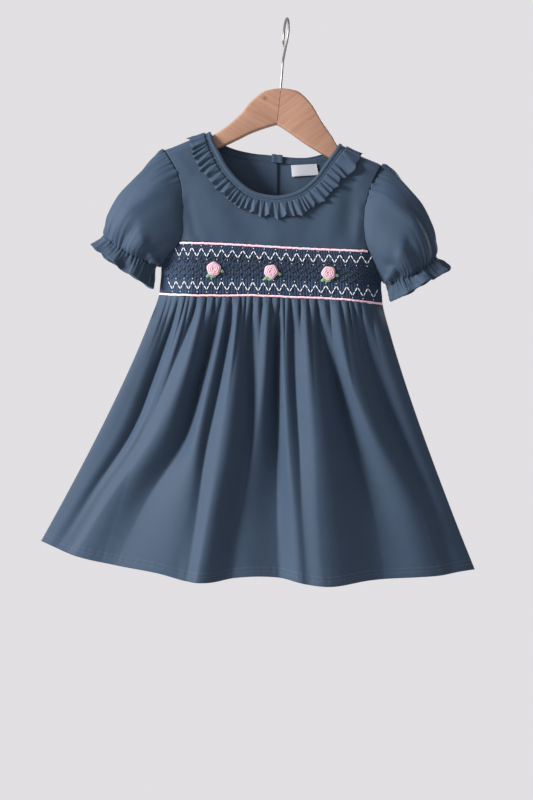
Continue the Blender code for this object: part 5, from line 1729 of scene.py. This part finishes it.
# Sleeves. Each crease is a line from one turn round the sleeve and section along it to
# another, with its width and height. A turn counts as 300 mm and a section as 16 mm.
TURN_LENGTH = 300
SECTION_LENGTH = 16
ELASTIC = 6.0
FRILL_STITCHES = 7.6
TUCK_HEIGHT = 3.1
HEAD_HEIGHT = 2.9
CREASE_GAIN = 2.1
FRILL_HEIGHT = 1.6
THREAD_LIFT = 0.42
SLEEVE_CREASES = (
    (0.06, 1.3, 0.03, 4.6, 6.5, 1.5),
    (0.115, 2.4, 0.09, 5.5, 6.0, -1.4),
    (0.17, 1.2, 0.15, 5.4, 8.0, 1.2),
    (0.24, 2.8, 0.20, 5.6, 7.0, -1.0),
    (0.30, 2.6, 0.27, 5.5, 8.0, 1.3),
    (0.36, 1.6, 0.34, 5.3, 6.0, -1.2),
    (0.43, 2.0, 0.41, 5.2, 6.0, 0.8),
    (0.95, 1.4, 0.97, 4.8, 6.5, 1.3),
    (0.88, 2.2, 0.90, 5.5, 6.5, -1.2),
    (0.80, 1.5, 0.81, 5.4, 8.0, 1.2),
    (0.72, 2.6, 0.74, 5.6, 7.0, -1.0),
    (0.64, 2.0, 0.66, 5.3, 7.0, 1.1),
    (0.57, 2.2, 0.58, 5.2, 6.0, -0.8),
)


def fine_sleeve(tab, hole, side, a_steps, r_steps, seed):
    a, r = np.meshgrid(a_steps, r_steps)
    round_a = 2 * math.pi * a
    scallop = np.sin(4 * round_a + seed) + 0.7 * np.sin(7 * round_a + 2 * seed)
    scallop = scallop + 0.5 * np.sin(11 * round_a + seed)
    shorter = 0.26 * ease((r - 6.4) / 1.4) * np.clip(0.5 + 0.3 * scallop, 0, 1)
    p = sleeve(tab, hole, side, a, r - shorter)
    n = outward(p, grid_normals(p, True), p.mean(axis=1, keepdims=True))
    edges = uneven(46, spread=0.45, seed=seed)
    tuck, which, _ = pleat(a, edges, low=0.45, seed=seed + 1, sharp=0.75)
    rng = np.random.default_rng(seed + 2)
    up = rng.uniform(0.5, 2.1, len(edges))[which]
    down = rng.uniform(0.5, 1.9, len(edges))[which]
    gap = r - ELASTIC
    fade = bell(np.abs(gap), np.where(gap < 0, up, down), 1.5)
    lift = TUCK_HEIGHT * tuck * fade - 0.9 * bell(gap, 0.10) - 0.35 * bell(gap + 0.32, 0.12)
    round_top = np.minimum(a, 1 - a)
    head, k, _ = pleat(a, uneven(48, spread=0.5, seed=seed + 3), low=0.35, seed=seed + 4, sharp=0.9)
    head_reach = rng.uniform(0.3, 1.0, 70)[k]
    near = ease((0.20 - round_top) / 0.06)
    lift = lift + HEAD_HEIGHT * head * near * bell(r, head_reach, 1.6) * ease(r / 0.06 + 0.25)
    lift = lift + 0.5 * head * (1 - near) * bell(r, 0.22, 1.4)
    hump = bell(round_top, 0.035) * bell(r - 0.28, 0.3)
    lift = lift + 2.0 * hump
    for shift in (-1.0, 0.0, 1.0):
        rows = np.array(SLEEVE_CREASES)
        rows[:, 0:3:2] = (rows[:, 0:3:2] + shift) * TURN_LENGTH
        rows[:, 1:4:2] = rows[:, 1:4:2] * SECTION_LENGTH
        lift = lift + CREASE_GAIN * creases(rows, a * TURN_LENGTH, r * SECTION_LENGTH)
    lift = lift + 0.3 * np.sin(2 * math.pi * (5 * a + 0.4 * r)) * ease(r / 1.5) * ease((6 - r) / 1.0)
    frill = ease((r - 6.15) / 1.3)
    wave = np.sin(5 * round_a + seed) + 0.7 * np.sin(9 * round_a + 3 * seed) + 0.4 * np.sin(14 * round_a)
    lift = lift + FRILL_HEIGHT * frill * wave
    edge_fold = 0.25 * ease((r - 7.55) / 0.08)
    stitch_line = -0.22 * bell(r - FRILL_STITCHES, 0.05)
    lift = (lift + edge_fold + stitch_line) * ease(r / 0.05 + 0.2)
    return p + n * lift[..., None], n


sleeve_sections = joined((0, 1.2, 22), (1.2, 5.0, 30), (5.0, 7.0, 34), (7, 8, 14))
sleeve_turns = np.arange(216) / 216.0
for side, tab, hole, seed in (
    ("left", SLEEVE_LEFT, ARMHOLE_LEFT, 91),
    ("right", SLEEVE_RIGHT, ARMHOLE_RIGHT, 101),
):
    p, n = fine_sleeve(tab, hole, side, sleeve_turns, sleeve_sections, seed)
    uv = flat_uv(sleeve_turns, sleeve_sections / SLEEVE_ROWS, 330, 190)
    cloth(f"puff_sleeve_{side}", f"sleeve_{side}", p, uv, navy, thick=0.8, wrap=True)
    paths = []
    for level in (ELASTIC - 0.06, ELASTIC + 0.06, FRILL_STITCHES):
        j = int(np.argmin(np.abs(sleeve_sections - level)))
        ring = p[j] + n[j] * THREAD_LIFT
        paths.append(np.concatenate([ring, ring[:1]]))
    stitch_rows(f"sleeve_stitches_{side}", paths, pitch=2.6, fill=0.62, radius=0.2)

# Hanger: wood with long grain along each arm, pores, a soft varnish and a small knot
KNOT = (-23.7, -86.9)
KNOT_RADIUS = 2.6


def wood(name, lean, knot):
    mat, tree, shader = new_material(name)
    place = own_place(tree)
    turn = tree.nodes.new("ShaderNodeMapping")
    turn.inputs["Rotation"].default_value = (0.0, lean, 0.0)
    tree.links.new(place, turn.inputs["Vector"])
    vector = turn.outputs["Vector"]
    growth = noise(tree, vector, 60.0, 4.0, (0.16, 1.6, 1.6))
    fibre = noise(tree, vector, 420.0, 4.0, (0.05, 1.0, 1.0))
    broad = noise(tree, vector, 16.0, 2.0, (0.5, 1.0, 1.0))
    pores = noise(tree, vector, 1300.0, 2.0, (0.045, 1.0, 1.0))
    base = blend_colour(tree, growth, 0.32, 0.68, (0.190, 0.102, 0.066), (0.225, 0.124, 0.084))
    lines = blend_colour(tree, fibre, 0.30, 0.62, (0.84, 0.80, 0.77), WHITE)
    patches = blend_colour(tree, broad, 0.3, 0.7, (0.90, 0.89, 0.88), (1.04, 1.03, 1.02))
    tone = multiply_colour(tree, multiply_colour(tree, base, lines), patches)
    dots = blend_colour(tree, pores, 0.28, 0.36, (0.72, 0.66, 0.62), WHITE)
    tone = multiply_colour(tree, tone, dots, 0.6)
    if knot is not None:
        split = tree.nodes.new("ShaderNodeSeparateXYZ")
        tree.links.new(place, split.inputs["Vector"])
        dx = maths(tree, "SUBTRACT", split.outputs["X"], knot[0] * MM)
        dz = maths(tree, "SUBTRACT", split.outputs["Z"], knot[1] * MM)
        square = maths(tree, "ADD", maths(tree, "MULTIPLY", dx, dx), maths(tree, "MULTIPLY", dz, dz))
        far = maths(tree, "DIVIDE", maths(tree, "SQRT", square), KNOT_RADIUS * MM)
        rim = maths(tree, "SUBTRACT", far, 0.3)
        eye = blend_colour(tree, rim, 0.0, 1.0, (0.60, 0.48, 0.42), WHITE)
        tone = multiply_colour(tree, tone, eye)
    tree.links.new(tone, shader.inputs["Base Color"])
    roughen(tree, shader, fibre, 0.42, 0.58)
    shader.inputs["Specular IOR Level"].default_value = 0.4
    add_bump(tree, shader, fibre, TWIST_DEPTH, 0.35)
    return mat


def fine_arm(name, node, tab, count, mat, toward):
    """Rounded arm. toward brings its inner end against the other arm's."""
    rows = np.arange(len(tab["x_top"]), dtype=float)
    rings = []
    for r in np.linspace(0, rows[-1], count):
        x_top, z_top, x_low, z_low, half = (float(through(rows, tab[c], r)) for c in ARM_COLUMNS.split())
        nudge = toward * max(0.0, 1 - r / 0.25)
        x_top, x_low = x_top + nudge, x_low + nudge
        height = z_top - z_low
        radius = min(3.4, half * 0.9, height * 0.4)
        ring = []
        for cy, cz, first in ((1, 1, 0), (-1, 1, 90), (-1, -1, 180), (1, -1, 270)):
            for step in range(0, 91, 15):
                angle = math.radians(first + step)
                y = cy * (half - radius) + radius * math.cos(angle)
                rise = height / 2 + cz * (height / 2 - radius) + radius * math.sin(angle)
                ring.append((x_low + (x_top - x_low) * rise / height, y, z_low + rise))
        rings.append(ring)
    p = np.array(rings)
    size = p.shape[1]
    mesh = mesh_from_grid(name, p, np.zeros((count, size, 2)), True)
    bm = bmesh.new()
    bm.from_mesh(mesh)
    bm.verts.ensure_lookup_table()
    bm.faces.new([bm.verts[k] for k in range(size)][::-1])
    bm.faces.new([bm.verts[(count - 1) * size + k] for k in range(size)])
    bmesh.ops.recalc_face_normals(bm, faces=bm.faces)
    bm.to_mesh(mesh)
    bm.free()
    mesh.shade_smooth()
    mesh.set_sharp_from_angle(angle=math.radians(40))
    arm = place_object(name, mesh, mat)
    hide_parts(node)


ARM_RINGS = 110
ARM_NUDGE = 0.35
beech = wood("beech_left", math.radians(-30), KNOT)
fine_arm("wood_arm_left", "hanger_arm_left", ARM_LEFT, ARM_RINGS, beech, ARM_NUDGE)
beech = wood("beech_right", math.radians(38), None)
fine_arm("wood_arm_right", "hanger_arm_right", ARM_RIGHT, ARM_RINGS, beech, -ARM_NUDGE)

# Hook
steel, tree, shader = new_material("drawn_steel")
place = own_place(tree)
drawn = noise(tree, place, 900.0, 3.0, (1.0, 1.0, 0.1))
colour = blend_colour(tree, drawn, 0.3, 0.7, (0.13, 0.127, 0.127), (0.19, 0.186, 0.186))
tree.links.new(colour, shader.inputs["Base Color"])
shader.inputs["Metallic"].default_value = 1.0
roughen(tree, shader, drawn, 0.38, 0.5)
add_bump(tree, shader, drawn, 0.00002, 0.15)
stations = np.arange(len(HOOK_PATH["x"]), dtype=float)
HOOK_RINGS = 190
fine = np.linspace(0, stations[-1], HOOK_RINGS)
hook = points(*(through(stations, HOOK_PATH[c], fine) for c in ("x", "y", "z")))
wire_radius = np.full(HOOK_RINGS, WIRE_RADIUS)
wire_radius[-6:] = WIRE_RADIUS * np.sqrt(np.clip(1 - (np.arange(6) / 5.6) ** 2, 0.05, 1))
wire = tube_mesh("steel_hook", hook, wire_radius, 18, steel)
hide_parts("hook_wire")

# Sheets: what was cut for each piece, flat
HALVES = ["back_half_left", "back_half_right"]
declared = (
    ("skirt_front", (0.62, 0.31), "gathered", 0.155, ["piping_cord_waist"], ["hem_stitches_front"]),
    ("skirt_back", (0.60, 0.31), "gathered", 0.150, HALVES, ["hem_stitches_back"]),
    ("yoke_front", (0.24, 0.13), "hung", 0.018, ["wood_arm_left", "wood_arm_right"], []),
    ("smocked_front_band", (0.36, 0.055), "gathered", None, ["yoke_front"], []),
    ("back_half_left", (0.14, 0.19), "hung", 0.0200, ["wood_arm_left"], []),
    ("back_half_right", (0.155, 0.18), "hung", 0.0215, ["wood_arm_right"], []),
    ("ruffle_round_neck", (0.70, 0.018), "gathered", None, ["yoke_front"], []),
    ("binding_round_neck", (0.40, 0.010), "stretched", None, ["yoke_front"], ["binding_tab"]),
    ("puff_sleeve_left", (0.30, 0.15), "gathered", 0.030, ["yoke_front"], ["sleeve_stitches_left"]),
    ("puff_sleeve_right", (0.30, 0.15), "gathered", 0.030, ["yoke_front"], ["sleeve_stitches_right"]),
    ("bare_label", (0.031, 0.014), "hung", None, ["back_half_right"], []),
)
for name, flat, held, area, on, others in declared:
    others = [bpy.data.objects[other] for other in others]

# Floor, light and camera
bpy.ops.mesh.primitive_plane_add(size=4.2, location=(0.0, 0.3, -1.35))
floor = bpy.context.object
floor.name = "floor"
floor_mat, tree, shader = new_material("pale_floor")
place = own_place(tree)
cloud = noise(tree, place, 3.0)
colour = blend_colour(tree, cloud, 0.3, 0.7, (0.64, 0.63, 0.64), (0.67, 0.66, 0.67))
tree.links.new(colour, shader.inputs["Base Color"])
shader.inputs["Roughness"].default_value = 0.9
floor.data.materials.append(floor_mat)

world = bpy.data.worlds.new("studio")
bpy.context.scene.world = world
world.use_nodes = True
sky = world.node_tree.nodes["Background"]
sky.inputs["Color"].default_value = (0.80, 0.78, 0.80, 1.0)
sky.inputs["Strength"].default_value = 0.95


def add_light(name, place, target, size, power, colour):
    """Round light turned to a target, in metres and watts."""
    data = bpy.data.lights.new(name, "AREA")
    data.shape = "DISK"
    data.size = size
    data.energy = power
    data.color = colour
    obj = bpy.data.objects.new(name, data)
    bpy.context.scene.collection.objects.link(obj)
    obj.location = Vector(place)
    obj.rotation_euler = (Vector(target) - Vector(place)).to_track_quat("-Z", "Y").to_euler()


for name, place, height, size, power, colour in (
    ("window_left", (-2.20, -1.10, 0.50), -0.38, 0.8, 228.0, (1.0, 0.985, 0.96)),
    ("fill_front", (0.9, -2.6, 0.9), -0.35, 1.6, 3.0, (0.96, 0.98, 1.0)),
    ("soft_back", (1.3, 2.2, 0.5), -0.4, 1.4, 46.0, (1.0, 0.99, 0.98)),
):
    add_light(name, place, (0.0, 0.0, height), size, power, colour)

SENSOR_HEIGHT = 36.0
LENS = 98.2
CAMERA_PLACE = (-0.022, -2.4, -0.418)
camera_data = bpy.data.cameras.new("camera")
camera_data.sensor_fit = "VERTICAL"
camera_data.sensor_height = SENSOR_HEIGHT
camera_data.lens = LENS
camera = bpy.data.objects.new("camera", camera_data)
bpy.context.scene.collection.objects.link(camera)
camera.location = CAMERA_PLACE
camera.rotation_euler = (math.radians(90), 0.0, 0.0)
bpy.context.scene.camera = camera
bpy.context.scene.view_settings.view_transform = "Standard"
